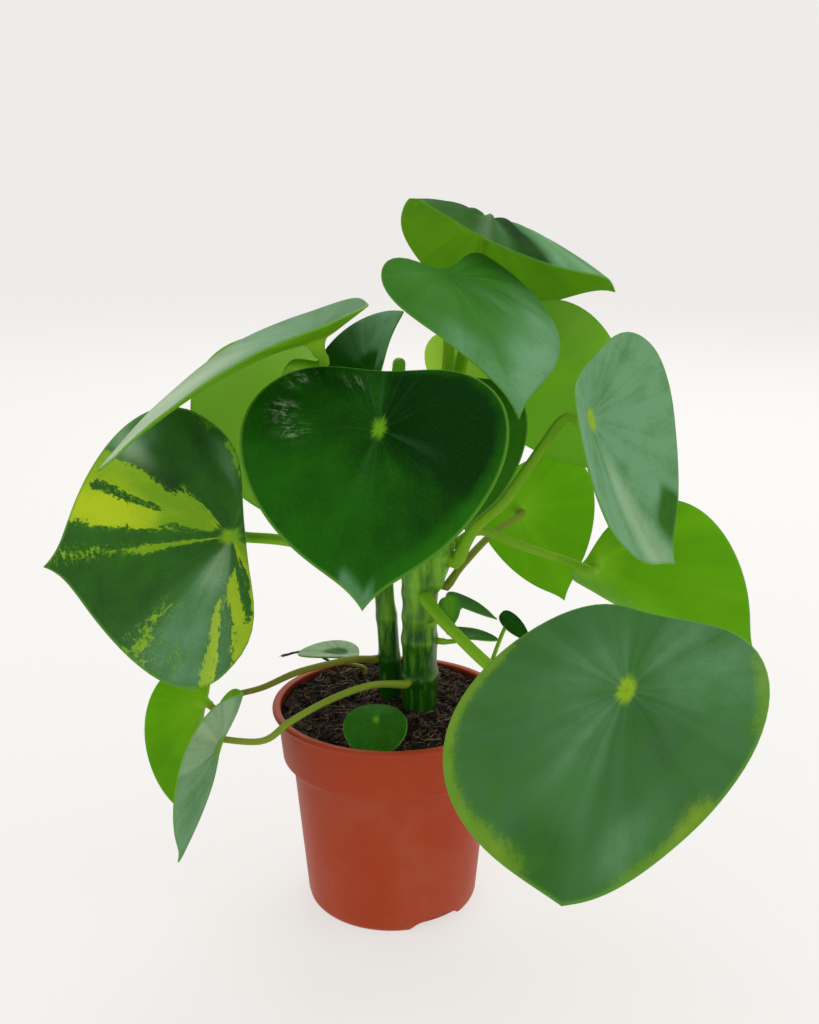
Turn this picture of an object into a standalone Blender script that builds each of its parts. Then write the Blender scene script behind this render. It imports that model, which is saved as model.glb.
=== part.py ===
"""A potted peperomia: a moulded nursery pot, its soil, two stems and every leaf on its own stalk.

Blender 4.5, metres, +Z up. The pot stands on its foot at the origin, and -Y is the side that faces
the viewer. Sizes in this file are millimetres and degrees; new_object turns them into metres.
"""

import math
from dataclasses import dataclass

import bmesh
import bpy
import numpy as np
from mathutils import Matrix, Vector, noise

MM = 0.001
GAP = 0.3

# Pot: a 12 cm nursery pot
RIM_RADIUS = 60.0
POT_HEIGHT = 106.0
FOOT_RADIUS = 39.6
FOOT_ROUNDING = 5.0
BODY_LOW_RADIUS = 43.6
BODY_TOP_RADIUS = 50.2
BAND_BOTTOM = 80.0
BAND_LOW_RADIUS = 55.2
BAND_TOP_RADIUS = 57.6
SHOULDER_HEIGHT = 3.5
# share of the step out to the band that is made at half the shoulder's height
SHOULDER_BULGE = 0.7
LIP_HEIGHT = 2.6
LIP_UNDERSIDE = 0.5
LIP_ROUNDING = 1.0
MOUTH_BEVEL = 0.4
MOUTH_DEPTH = 1.5
WALL = 1.7
BASE_THICKNESS = 2.0
BASE_STEP = 7.5
BASE_FLAT_RADIUS = 30.0
FLOOR_ROUNDING = 1.0
POT_STEPS = 36
ARCH_HEIGHT = 5.0
ARCH_SPAN = 42.0
ARCH_DEPTH = 33.5
ARCH_FIRST = -57.0
ARCH_COUNT = 3
ARCH_STEPS = 8
ARCH_SQUARENESS = 6
ARCH_START = -5.0

# Soil
SOIL_TOP = 101.5
SOIL_ROUGHNESS = 1.6
SOIL_BUMP_LENGTH = 9.0
# how rough the bumps are, how much finer each layer of them is, how many layers, and which bumps
SOIL_FRACTAL = (0.9, 2.0, 3)
SOIL_SLICE = 3.7
SOIL_SLOPE = 0.05
SOIL_RINGS = 5
SOIL_SPOKES = 28
ROOT_DEPTH = 8.0
ROOT_CLEARANCE = 0.5
ROOT_RINGS = 4

# Steps between two given points of a curve
CURVE_STEPS = 16

# Blades and stalks
HUB_THICKNESS = 1.8
MARGIN_THICKNESS = 1.0
SHARP_ANGLE = 50.0
STALK_SIDES = 8
STALK_FLARE = 1.25
STALK_SPACING = 1.7
# shares of a stalk's length between which it tapers evenly
STALK_TAPER = (0.12, 0.9)
# straight stretch at a stalk's foot, and how far below the hub it comes in square
FOOT_STRETCH = 3.0
HUB_STRETCH = 12.0
HUB_STRETCH_SHARE = 0.12
STEM_SIDES = 14
STEM_SPACING = 7.5
JOINT_SPREAD = 3.5
# height over which a stem's lean is taken
LEAN_REACH = 3.0
SPOKES = 28
SMALL_SPOKES = 20
RING_SHARES = (0.28, 0.58, 0.84, 1.0)
SMALL_RING_SHARES = (0.45, 1.0)
SMALL_LENGTH = 45.0
# how wide the drawn-out point and the base notch are, as angles round the margin
POINT_SPREAD = 0.2
NOTCH_SPREAD = 0.4
# half width share over which the midrib's crease opens, and the strips that bends are summed over
CREASE = 0.12
STRIPS = (np.arange(24) + 0.5) / 24

GREEN = (0.045, 0.13, 0.02)
DARK_GREEN = (0.012, 0.055, 0.012)
GREY_GREEN = (0.09, 0.19, 0.09)
BRIGHT_GREEN = (0.12, 0.26, 0.02)
STEM_GREEN = (0.06, 0.17, 0.02)
TERRACOTTA = (0.32, 0.055, 0.022)
PEAT = (0.022, 0.012, 0.008)
DRY_BROWN = (0.035, 0.02, 0.012)
SATIN = 0.4
MATT = 0.9


@dataclass
class Stem:
    """A stem: axis points from the soil up, the radius at each, and the heights of its swollen joints."""

    points: list
    radii: list
    joints: tuple = ()
    swelling: float = 0.09


@dataclass
class Leaf:
    """One leaf. The hub is where the stalk meets the blade; +x of the blade is right of its midrib."""

    name: str
    hub: tuple
    heading: float
    pitch: float
    roll: float
    length: float
    width: float
    colour: tuple = GREEN
    # share of the length between the base and the hub
    hub_at: float = 0.33
    # how far the widest line lies towards the base, for each half
    egg_right: float = 0.25
    egg_left: float = 0.25
    # share of the half width that each half takes
    wide_right: float = 1.0
    wide_left: float = 1.0
    # drawn-out point and base notch, as shares of the length
    point: float = 0.10
    notch: float = 0.03
    # bending along the midrib, in degrees over one length, towards the tip and towards the base
    arch: float = 10.0
    base_arch: float = 10.0
    # crease at the midrib, and curl out to the margin, in degrees for each half
    fold_right: float = 6.0
    fold_left: float = 6.0
    curl_right: float = 8.0
    curl_left: float = 8.0
    twist: float = 0.0
    # dimple round the hub
    funnel: float = 3.0
    funnel_radius: float = 14.0
    # stalk: the stem it grows from, or None for the soil, the height and direction of its foot
    stem: str = None
    foot: tuple = (0.0, 0.0)
    stalk: tuple = ()
    stalk_radii: tuple = (3.0, 2.2)


STEMS = {
    "stem_front": Stem(
        points=[(14, 5, 91), (14, 4, 112), (14, 1, 140), (14, 0, 165), (12, 1, 190), (16, 3, 222),
                (22, 5, 254)],
        radii=[8.6, 8.6, 8.2, 8.0, 6.6, 5.6, 4.2],
        joints=(119, 139, 151, 164, 206, 225, 236, 247),
    ),
    "stem_back": Stem(
        points=[(-1, 17, 91), (-1, 14, 112), (-2, 11, 140), (-4, 10, 165), (-4, 10, 200), (1, 9, 240),
                (4, 8, 276)],
        radii=[5.4, 5.2, 5.0, 4.6, 4.2, 3.8, 3.0],
        joints=(124, 148, 172, 204, 236, 248),
    ),
}
# The side branch grows out of the front stem and is one piece with it.
BRANCH_OF = "stem_front"
BRANCH = Stem(
    points=[(13, 0, 158), (20, -2, 170), (25, -3, 184), (27, -3, 196)],
    radii=[4.6, 5.0, 4.8, 4.0],
    joints=(170, 184),
)

LEAVES = [
    Leaf("leaf_top_back", (47, 35, 343), 18, -19, -19, 123, 108, GREY_GREEN, hub_at=0.37, egg_right=0.1,
         egg_left=-0.2, arch=35, base_arch=45, fold_right=-25, fold_left=-25, curl_right=-25, curl_left=-15,
         stem="stem_front", foot=(247, 40), stalk=((32, 6, 268), (38, 9, 300)), stalk_radii=(3.2, 2.4)),
    Leaf("leaf_top_front", (27, -22, 322), -59, -31, 0, 104, 94, GREEN, hub_at=0.23, egg_right=0.6,
         egg_left=0.0, wide_right=0.72, wide_left=1.03, point=0.13, notch=0.18, arch=40, base_arch=-50,
         fold_right=0, fold_left=0, curl_right=-38, curl_left=-25,
         stem="stem_front", foot=(243, -60), stalk=((26, -7, 262), (27, -10, 294)), stalk_radii=(3.2, 2.4)),
    Leaf("leaf_left_long", (-33, -45, 298), -171, -18, -2, 143, 118, GREY_GREEN, hub_at=0.22, egg_right=0.5,
         arch=35, base_arch=-100, fold_right=-3, fold_left=9, curl_right=3, curl_left=8, twist=3,
         stem="stem_back", foot=(236, 185), stalk=((-22, 5, 247), (-47, -4, 263), (-43, -34, 282)),
         stalk_radii=(3.0, 2.2)),
    Leaf("leaf_left_behind", (-57, 32, 256), -38, -85, 180, 104, 102, BRIGHT_GREEN,
         stem="stem_back", foot=(204, 165), stalk=((-26, 13, 212), (-48, 18, 236)), stalk_radii=(2.8, 2.0)),
    Leaf("leaf_variegated", (-72, -50, 208), 160, -14, -72, 128, 130, GREEN, hub_at=0.14, egg_right=0.3,
         egg_left=0.5, wide_right=0.96, wide_left=1.05, point=0.13, notch=0.08, base_arch=255,
         stem="stem_back", foot=(172, 215), stalk=((-24, -14, 184), (-44, -34, 200)), stalk_radii=(2.8, 2.4)),
    Leaf("leaf_low_left_behind", (-94, -22, 117), 161, -78, 13, 93, 52, BRIGHT_GREEN, hub_at=0.27,
         fold_right=25, fold_left=25, curl_right=10, curl_left=10,
         stem="stem_back", foot=(124, 190),
         stalk=((-21, 0, 128), (-45, -10, 126), (-63, -16, 120), (-78, -20, 117)),
         stalk_radii=(1.8, 1.5)),
    Leaf("leaf_low_left_front", (-75, -66, 112), -152, -68, -131, 87, 62, GREY_GREEN,
         fold_right=-5, fold_left=-40, curl_right=-8, curl_left=-10,
         stem="stem_front", foot=(119, 235),
         stalk=((-10, -18, 122), (-29, -28, 119), (-47, -44, 115), (-60, -57, 111)),
         stalk_radii=(1.8, 1.5)),
    Leaf("leaf_centre_front", (-4, -75, 263), -101, -56, 0, 109, 114, DARK_GREEN, hub_at=0.29,
         egg_right=0.19, egg_left=0.23, point=0.12, notch=0.05, arch=25, base_arch=25,
         stem="stem_front", foot=(225, -110), stalk=((10, -18, 234), (3, -44, 248)), stalk_radii=(3.0, 2.4)),
    Leaf("leaf_right_upright", (92, -35, 258), 43, -65, 75, 124, 99, GREY_GREEN, hub_at=0.31,
         egg_right=0.17, egg_left=0.21, point=0.07, notch=0.1, arch=-40, base_arch=-16, fold_right=16,
         fold_left=16, curl_right=12, curl_left=8,
         stem="branch", foot=(184, -30), stalk=((40, -9, 199), (54, -15, 215), (70, -25, 243)),
         stalk_radii=(3.0, 2.4)),
    Leaf("leaf_right_behind", (102, 20, 174), -4, -29, -87, 100, 98, BRIGHT_GREEN, hub_at=0.05, notch=0.0,
         base_arch=300, fold_right=5, fold_left=30, curl_right=5, curl_left=60,
         stem="branch", foot=(190, 30), stalk=((44, 5, 194), (64, 10, 185), (84, 14, 177)),
         stalk_radii=(2.4, 2.0)),
    Leaf("leaf_front_right", (96, -120, 165), -128, -53.5, 1, 130, 136, GREEN, hub_at=0.31,
         egg_right=-0.25, egg_left=0.41, wide_left=0.96, point=0.03, notch=0.05, arch=20, base_arch=40,
         stem="stem_front", foot=(164, -75), stalk=((28, -40, 160), (52, -76, 150), (78, -100, 150)),
         stalk_radii=(3.0, 2.3)),
    Leaf("leaf_upper_right_behind", (72, 38, 267), 9, -48, -65, 109, 80, BRIGHT_GREEN,
         stem="stem_front", foot=(225, 50), stalk=((32, 20, 236), (50, 26, 252)), stalk_radii=(2.8, 2.2)),
    Leaf("leaf_mid_right_behind", (65, 58, 191), 14, -62, -87, 83, 72, BRIGHT_GREEN, hub_at=0.27,
         wide_right=1.25, wide_left=0.62, curl_right=5, curl_left=40,
         stem="branch", foot=(170, 15), stalk=((36, 6, 177), (52, 26, 187)), stalk_radii=(2.0, 1.6)),
    Leaf("leaf_centre_right", (38, -30, 254), -116, -77, 0, 72, 56, DARK_GREEN,
         stem="stem_front", foot=(206, -40), stalk=((24, -10, 220), (32, -18, 240)), stalk_radii=(2.4, 1.9)),
    Leaf("leaf_upper_middle", (35, 24, 277), -41, -86, -113, 43, 42, BRIGHT_GREEN,
         stem="stem_front", foot=(236, 110), stalk=((18, 14, 250), (26, 14, 264)), stalk_radii=(1.9, 1.5)),
    Leaf("leaf_upper_dark", (-11, -22, 277), -146, -60, 0, 88, 51, DARK_GREEN, hub_at=0.38, egg_right=0.0,
         egg_left=-0.65, wide_right=1.3, wide_left=0.45, point=0.0, notch=0.0, base_arch=44, curl_left=-60,
         stem="stem_back", foot=(248, 250), stalk=((-3, -4, 258),), stalk_radii=(2.2, 1.8)),
    Leaf("leaf_soil_front", (-7, -35, 112), -92, -30, 0, 29, 31, DARK_GREEN, hub_at=0.3, point=0.0,
         notch=0.0, egg_right=0.0, egg_left=0.0,
         funnel=1.0, funnel_radius=5.0,
         foot=(-8, -18), stalk=((-8, -20, 106),), stalk_radii=(1.3, 1.0)),
    Leaf("leaf_soil_back", (-27, 25, 122), 180, 1, 0, 33, 24, GREY_GREEN, point=0.0,
         funnel=1.0, funnel_radius=5.0,
         foot=(-15, 40), stalk=((-16, 39, 108),), stalk_radii=(1.2, 0.9)),
    Leaf("leaf_shoot_upper", (35, 0, 159), -8, -23, 15, 29, 10, GREY_GREEN,
         funnel=1.0, funnel_radius=5.0,
         stem="stem_front", foot=(151, 5), stalk=((29, 1, 153),), stalk_radii=(1.3, 1.0)),
    Leaf("leaf_shoot_small", (28, -14, 162), -52, -64, 21, 15, 11, BRIGHT_GREEN,
         funnel=0.5, funnel_radius=3.0,
         stem="stem_front", foot=(151, -60), stalk=((24, -9, 155),), stalk_radii=(1.1, 0.9)),
    Leaf("leaf_shoot_lower", (35, -4, 144), -12, -4, 18, 27, 9, GREY_GREEN, point=0.0,
         funnel=1.0, funnel_radius=5.0,
         stem="stem_front", foot=(139, -15), stalk=((29, -3, 139),), stalk_radii=(1.3, 1.0)),
    Leaf("leaf_shoot_right", (59, -2, 149), -6, -43, 59, 22, 9, DARK_GREEN,
         funnel=1.0, funnel_radius=4.0,
         foot=(46, 14), stalk=((48, 13, 112), (55, 6, 138)), stalk_radii=(1.2, 1.0)),
]

# A dead flower stalk that stands in the soil and hangs over the rim
DRY_STALK_POINTS = [(-29, 34, 93), (-29, 34, 106), (-31, 34, 111),
                    (-37, 33, 116), (-47, 31, 120), (-58, 30, 118)]
DRY_STALK_RADIUS = 1.0
DRY_STALK_TAPER = 0.35
DRY_STALK_SPACING = 4.0


def clear_scene():
    for obj in list(bpy.data.objects):
        bpy.data.objects.remove(obj, do_unlink=True)


def material(name, colour, roughness):
    made = bpy.data.materials.new(name)
    made.use_nodes = True
    shader = made.node_tree.nodes["Principled BSDF"]
    shader.inputs["Base Color"].default_value = (*colour, 1.0)
    shader.inputs["Roughness"].default_value = roughness
    shader.inputs["Metallic"].default_value = 0.0
    made.diffuse_color = (*colour, 1.0)
    return made


def new_object(name, bm, colour, roughness, collection=None):
    """A mesh object in metres from a bmesh in millimetres, with its own material."""
    bmesh.ops.transform(bm, matrix=Matrix.Scale(MM, 4), verts=bm.verts)
    bmesh.ops.recalc_face_normals(bm, faces=bm.faces)
    mesh = bpy.data.meshes.new(name)
    bm.to_mesh(mesh)
    bm.free()
    mesh.shade_smooth()
    mesh.set_sharp_from_angle(angle=math.radians(SHARP_ANGLE))
    mesh.materials.append(material(name, colour, roughness))
    obj = bpy.data.objects.new(name, mesh)
    (collection or bpy.context.scene.collection).objects.link(obj)
    return obj


def combine(obj, others, operation, solver="EXACT"):
    """One Boolean of obj with a collection that holds the others, applied, and the others removed."""
    helpers = bpy.data.collections.new(obj.name + "_helpers")
    bpy.context.scene.collection.children.link(helpers)
    for other in others:
        for owner in list(other.users_collection):
            owner.objects.unlink(other)
        helpers.objects.link(other)
    modifier = obj.modifiers.new("join", "BOOLEAN")
    modifier.operand_type = "COLLECTION"
    modifier.collection = helpers
    modifier.operation = operation
    modifier.solver = solver
    graph = bpy.context.evaluated_depsgraph_get()
    done = bpy.data.meshes.new_from_object(obj.evaluated_get(graph), depsgraph=graph)
    obj.modifiers.clear()
    old = obj.data
    obj.data = done
    bpy.data.meshes.remove(old)
    obj.data.name = obj.name
    for other in others:
        bpy.data.objects.remove(other, do_unlink=True)
    bpy.data.collections.remove(helpers)
    return obj


def smooth_path(points, spacing):
    """Points at about one spacing along a Catmull-Rom curve, and their shares of its length."""
    given = [Vector(p) for p in points]
    ends = [2 * given[0] - given[1], *given, 2 * given[-1] - given[-2]]
    fine = []
    for a, b, c, d in zip(ends, ends[1:], ends[2:], ends[3:]):
        for step in range(CURVE_STEPS):
            t = step / CURVE_STEPS
            fine.append(0.5 * (2 * b + (c - a) * t + (2 * a - 5 * b + 4 * c - d) * t * t
                               + (3 * b - a - 3 * c + d) * t ** 3))
    fine.append(given[-1])
    run = np.array([0.0, *np.cumsum([(q - p).length for p, q in zip(fine, fine[1:])])])
    count = max(3, round(run[-1] / spacing))
    wanted = np.linspace(0, run[-1], count + 1)
    table = np.array(fine)
    return np.stack([np.interp(wanted, run, table[:, i]) for i in range(3)], axis=1), wanted / run[-1]


def tube(path, radii, sides, dome=0.0):
    """A closed tube along the path. Its far end is a dome of the given height, or flat."""
    bm = bmesh.new()
    path = [Vector(p) for p in path]
    radii = list(radii)
    if dome:
        tip_direction = (path[-1] - path[-2]).normalized()
        last, radius = path[-1], radii[-1]
        for share in (0.6, 0.9):
            path.append(last + tip_direction * dome * share)
            radii.append(radius * math.sqrt(1 - share * share))
    tangents = [(q - p).normalized() for p, q in zip(path, path[1:])]
    tangents = [tangents[0]] + [(a + b).normalized() for a, b in zip(tangents, tangents[1:])] + [tangents[-1]]
    side = tangents[0].orthogonal().normalized()
    rings = []
    for point, tangent, radius in zip(path, tangents, radii):
        side = (side - tangent * side.dot(tangent)).normalized()
        other = tangent.cross(side)
        turns = [2 * math.pi * i / sides for i in range(sides)]
        spokes = [side * math.cos(a) + other * math.sin(a) for a in turns]
        rings.append([bm.verts.new(point + spoke * radius) for spoke in spokes])
    for low, high in zip(rings, rings[1:]):
        for i in range(sides):
            j = (i + 1) % sides
            bm.faces.new((low[i], low[j], high[j], high[i]))
    bm.faces.new(reversed(rings[0]))
    bm.faces.new(rings[-1])
    return bm


def stem_path(stem):
    """The stem's points and their radii, with a swelling at each joint."""
    path, shares = smooth_path(stem.points, STEM_SPACING)
    places = np.linspace(0, 1, len(stem.radii))
    radii = np.interp(shares, places, stem.radii)
    for joint in stem.joints:
        radii = radii * (1 + stem.swelling * np.exp(-((path[:, 2] - joint) / JOINT_SPREAD) ** 2))
    return path, radii


def socket(stem, height, direction):
    """The point just clear of the stem's side at a height and direction, and the way out from there."""
    path, radii = stem_path(stem)
    axis = Vector([np.interp(height, path[:, 2], path[:, i]) for i in range(3)])
    radius = float(np.interp(height, path[:, 2], radii))
    below = Vector([np.interp(height - LEAN_REACH, path[:, 2], path[:, i]) for i in range(3)])
    lean = (axis - below).normalized()
    outward = Vector((math.cos(math.radians(direction)), math.sin(math.radians(direction)), 0.0))
    outward = (outward - lean * outward.dot(lean)).normalized()
    return axis + outward * (radius + GAP), outward


def outline(leaf, angles):
    """The margin in the flat blade. Angle 0 is the tip, and the hub is at 0, 0."""
    right = np.sin(angles) >= 0
    egg = np.where(right, leaf.egg_right, leaf.egg_left)
    wide = np.where(right, leaf.wide_right, leaf.wide_left)
    body = leaf.length * (1 - leaf.point)
    x = 0.5 * leaf.width * wide * np.sin(angles) * (1 - egg * np.cos(angles)) / (1 + 0.5 * egg ** 2)
    off_tip = np.abs(angles)
    y = 0.5 * body * (1 + np.cos(angles)) - leaf.hub_at * leaf.length
    y = y + leaf.length * leaf.point * np.exp(-off_tip / POINT_SPREAD)
    y = y + leaf.length * leaf.notch * np.exp(-((math.pi - off_tip) / NOTCH_SPREAD) ** 2)
    return x, y


def bend(leaf, x, y):
    """Flat blade coordinates to the bent blade: sideways, towards the tip, and up from the upper side."""
    half = 0.5 * leaf.width
    along = y[..., None] * STRIPS
    slope = np.radians(np.where(along < 0, leaf.base_arch, leaf.arch) * along / leaf.length)
    forward = y * np.cos(slope).mean(axis=-1)
    height = -y * np.sin(slope).mean(axis=-1)
    out = np.abs(x)[..., None] * STRIPS / half
    fold = np.where(x >= 0, leaf.fold_right, leaf.fold_left)[..., None]
    curl = np.where(x >= 0, leaf.curl_right, leaf.curl_left)[..., None]
    tilt = np.radians(fold * np.tanh(out / CREASE) + curl * out)
    sideways = x * np.cos(tilt).mean(axis=-1)
    lift = np.abs(x) * np.sin(tilt).mean(axis=-1)
    lift = lift - leaf.funnel * np.exp(-(x * x + y * y) / leaf.funnel_radius ** 2)
    turn = np.radians(leaf.twist * y / leaf.length)
    across = sideways * np.cos(turn) - lift * np.sin(turn)
    lift = sideways * np.sin(turn) + lift * np.cos(turn)
    lean = np.radians(np.where(y < 0, leaf.base_arch, leaf.arch) * y / leaf.length)
    return np.stack([across, forward + lift * np.sin(lean), height + lift * np.cos(lean)], axis=-1)


def blade_axes(leaf):
    """Right of the midrib, towards the tip, and up from the upper side, as rows."""
    heading, pitch, roll = (math.radians(v) for v in (leaf.heading, leaf.pitch, leaf.roll))
    compass = np.array([math.cos(heading), math.sin(heading), 0.0])
    upright = np.array([0.0, 0.0, 1.0])
    tip = compass * math.cos(pitch) + upright * math.sin(pitch)
    level = upright * math.cos(pitch) - compass * math.sin(pitch)
    side = np.cross(tip, level)
    return np.stack([side * math.cos(roll) - level * math.sin(roll), tip,
                     level * math.cos(roll) + side * math.sin(roll)])


def blade_points(leaf, x, y):
    """Points in the middle of the blade, and the way up from its upper side at each."""
    axes = blade_axes(leaf)
    tiny = 0.05
    middle = bend(leaf, x, y)
    across = bend(leaf, x + tiny, y) - bend(leaf, x - tiny, y)
    forward = bend(leaf, x, y + tiny) - bend(leaf, x, y - tiny)
    up = np.cross(across, forward)
    up = up / np.linalg.norm(up, axis=-1, keepdims=True)
    return np.array(leaf.hub) + middle @ axes, up @ axes


def blade(leaf):
    """The blade as one closed thin body: rings of triangles round the hub, alike on both faces."""
    small = leaf.length < SMALL_LENGTH
    spokes = SMALL_SPOKES if small else SPOKES
    shares = SMALL_RING_SHARES if small else RING_SHARES
    angles = np.array([2 * math.pi * i / spokes - math.pi for i in range(spokes)])
    margin_x, margin_y = outline(leaf, angles)
    bm = bmesh.new()
    centre, centre_up = blade_points(leaf, np.zeros(1), np.zeros(1))
    faces = []
    for side in (0.5, -0.5):
        hub = bm.verts.new(centre[0] + centre_up[0] * side * HUB_THICKNESS)
        rings = []
        for share in shares:
            points, up = blade_points(leaf, share * margin_x, share * margin_y)
            thickness = HUB_THICKNESS + (MARGIN_THICKNESS - HUB_THICKNESS) * share
            rings.append([bm.verts.new(p + n * side * thickness) for p, n in zip(points, up)])
        faces.append((hub, rings))
    for hub, rings in faces:
        for i in range(spokes):
            j = (i + 1) % spokes
            bm.faces.new((hub, rings[0][i], rings[0][j]))
            for inner, outer in zip(rings, rings[1:]):
                bm.faces.new((inner[i], outer[i], outer[j]))
                bm.faces.new((inner[i], outer[j], inner[j]))
    upper, under = faces[0][1][-1], faces[1][1][-1]
    for i in range(spokes):
        j = (i + 1) % spokes
        bm.faces.new((upper[i], under[i], under[j]))
        bm.faces.new((upper[i], under[j], upper[j]))
    return bm


def stalk(leaf, stems):
    """The stalk from its foot, on a stem or in the soil, square into the hub from below."""
    centre, up = blade_points(leaf, np.zeros(1), np.zeros(1))
    end = Vector(centre[0])
    below = end - Vector(up[0]) * min(HUB_STRETCH, HUB_STRETCH_SHARE * leaf.length)
    if leaf.stem is None:
        x, y = leaf.foot
        start = [Vector((x, y, SOIL_TOP - ROOT_DEPTH + GAP)), Vector((x, y, SOIL_TOP + FOOT_STRETCH))]
    else:
        foot, outward = socket(stems[leaf.stem], *leaf.foot)
        start = [foot, foot + outward * FOOT_STRETCH]
    points = [*start[1:], *[Vector(p) for p in leaf.stalk], below, end]
    thick, thin = leaf.stalk_radii
    path, shares = smooth_path(points, STALK_SPACING * (thick + thin))
    path, shares = np.vstack([start[0], path]), np.append(0.0, shares)
    ends = (STALK_FLARE * thick, thick, thin, STALK_FLARE * thin)
    radii = np.interp(shares, (0.0, *STALK_TAPER, 1.0), ends)
    return tube(path, radii, STALK_SIDES)


def build_leaf(leaf, stems):
    obj = new_object(leaf.name, blade(leaf), leaf.colour, SATIN)
    stem_piece = new_object(leaf.name + "_stalk", stalk(leaf, stems), STEM_GREEN, SATIN)
    combine(obj, [stem_piece], "UNION")
    finish_faces(obj)
    return obj


def finish_faces(obj):
    """One material, smooth faces and sharp edges where faces meet steeply."""
    while len(obj.data.materials) > 1:
        obj.data.materials.pop()
    for polygon in obj.data.polygons:
        polygon.material_index = 0
    obj.data.shade_smooth()
    obj.data.set_sharp_from_angle(angle=math.radians(SHARP_ANGLE))


def build_stems():
    for name, stem in STEMS.items():
        path, radii = stem_path(stem)
        obj = new_object(name, tube(path, radii, STEM_SIDES, dome=radii[-1]), STEM_GREEN, SATIN)
        if name == BRANCH_OF:
            path, radii = stem_path(BRANCH)
            twig = new_object("branch", tube(path, radii, STEM_SIDES, dome=radii[-1]), STEM_GREEN, SATIN)
            combine(obj, [twig], "UNION")
            finish_faces(obj)


def turned(profile, steps):
    """A body turned about Z from a profile of radius and height points, from axis to axis."""
    bm = bmesh.new()
    verts = [bm.verts.new((r, 0.0, z)) for r, z in profile]
    edges = [bm.edges.new(pair) for pair in zip(verts, verts[1:])]
    bmesh.ops.spin(bm, geom=verts + edges, cent=(0, 0, 0), axis=(0, 0, 1), angle=2 * math.pi,
                   steps=steps, use_merge=True)
    bmesh.ops.remove_doubles(bm, verts=bm.verts, dist=1e-4)
    return bm


def outer_profile():
    """The pot's outer side from the centre of the foot to the top of the lip."""
    profile = [(0.0, 0.0), (FOOT_RADIUS, 0.0)]
    for turn in (30, 60, 90):
        angle = math.radians(turn)
        profile.append((BODY_LOW_RADIUS - (BODY_LOW_RADIUS - FOOT_RADIUS) * (1 - math.sin(angle)),
                        FOOT_ROUNDING * (1 - math.cos(angle))))
    shoulder = BAND_LOW_RADIUS - BODY_TOP_RADIUS
    profile.append((BODY_TOP_RADIUS, BAND_BOTTOM - SHOULDER_HEIGHT))
    profile.append((BODY_TOP_RADIUS + SHOULDER_BULGE * shoulder, BAND_BOTTOM - SHOULDER_HEIGHT / 2))
    profile.append((BAND_LOW_RADIUS, BAND_BOTTOM))
    profile.append((BAND_TOP_RADIUS, POT_HEIGHT - LIP_HEIGHT))
    profile.append((RIM_RADIUS, POT_HEIGHT - LIP_HEIGHT + LIP_UNDERSIDE))
    profile.append((RIM_RADIUS, POT_HEIGHT - LIP_ROUNDING))
    profile.append((RIM_RADIUS - LIP_ROUNDING, POT_HEIGHT))
    return profile


def inner_profile():
    """The pot's inner side from the top of the lip to the centre of its floor."""
    return [
        (BAND_TOP_RADIUS - WALL + MOUTH_BEVEL, POT_HEIGHT),
        (BAND_TOP_RADIUS - WALL, POT_HEIGHT - MOUTH_DEPTH),
        (BAND_LOW_RADIUS - WALL, BAND_BOTTOM + FLOOR_ROUNDING),
        (BODY_TOP_RADIUS - WALL, BAND_BOTTOM - SHOULDER_HEIGHT),
        (BODY_LOW_RADIUS - WALL, BASE_STEP + FLOOR_ROUNDING),
        (BASE_FLAT_RADIUS + FLOOR_ROUNDING, BASE_STEP),
        (BASE_FLAT_RADIUS, BASE_THICKNESS),
        (0.0, BASE_THICKNESS),
    ]


def arch_cutter(middle):
    """A block that cuts one arch out of the foot's edge, from ARCH_DEPTH outwards."""
    bm = bmesh.new()
    floor, roof = [], []
    for i in range(ARCH_STEPS + 1):
        share = 2 * i / ARCH_STEPS - 1
        angle = math.radians(middle + share * ARCH_SPAN / 2)
        top = ARCH_HEIGHT * (1 - share ** ARCH_SQUARENESS) + GAP
        for radius in (ARCH_DEPTH, RIM_RADIUS):
            x, y = radius * math.cos(angle), radius * math.sin(angle)
            floor.append(bm.verts.new((x, y, ARCH_START)))
            roof.append(bm.verts.new((x, y, top)))
    for row in (floor, roof):
        for i in range(ARCH_STEPS):
            bm.faces.new((row[2 * i], row[2 * i + 1], row[2 * i + 3], row[2 * i + 2]))
    for edge in (0, 1):
        for i in range(ARCH_STEPS):
            a, b = 2 * i + edge, 2 * i + 2 + edge
            bm.faces.new((floor[a], floor[b], roof[b], roof[a]))
    for i in (0, 2 * ARCH_STEPS):
        bm.faces.new((floor[i], floor[i + 1], roof[i + 1], roof[i]))
    return bm


def build_pot():
    obj = new_object("pot", turned(outer_profile() + inner_profile(), POT_STEPS), TERRACOTTA, SATIN)
    cutters = []
    for i in range(ARCH_COUNT):
        middle = ARCH_FIRST + i * 360.0 / ARCH_COUNT
        cutters.append(new_object(f"arch_{i}", arch_cutter(middle), TERRACOTTA, SATIN))
    combine(obj, cutters, "DIFFERENCE")
    finish_faces(obj)


def soil_height(x, y):
    """The rough top of the soil, which rises a little towards the back."""
    bump = noise.fractal(Vector((x / SOIL_BUMP_LENGTH, y / SOIL_BUMP_LENGTH, SOIL_SLICE)), *SOIL_FRACTAL)
    return SOIL_TOP + SOIL_ROUGHNESS * bump + SOIL_SLOPE * y


def soil_radius(height):
    """The soil's outer radius at a height: the pot's inner wall less the gap."""
    wall = sorted((z, r) for r, z in inner_profile())
    return float(np.interp(height, [z for z, _ in wall], [r for _, r in wall])) - GAP


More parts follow.
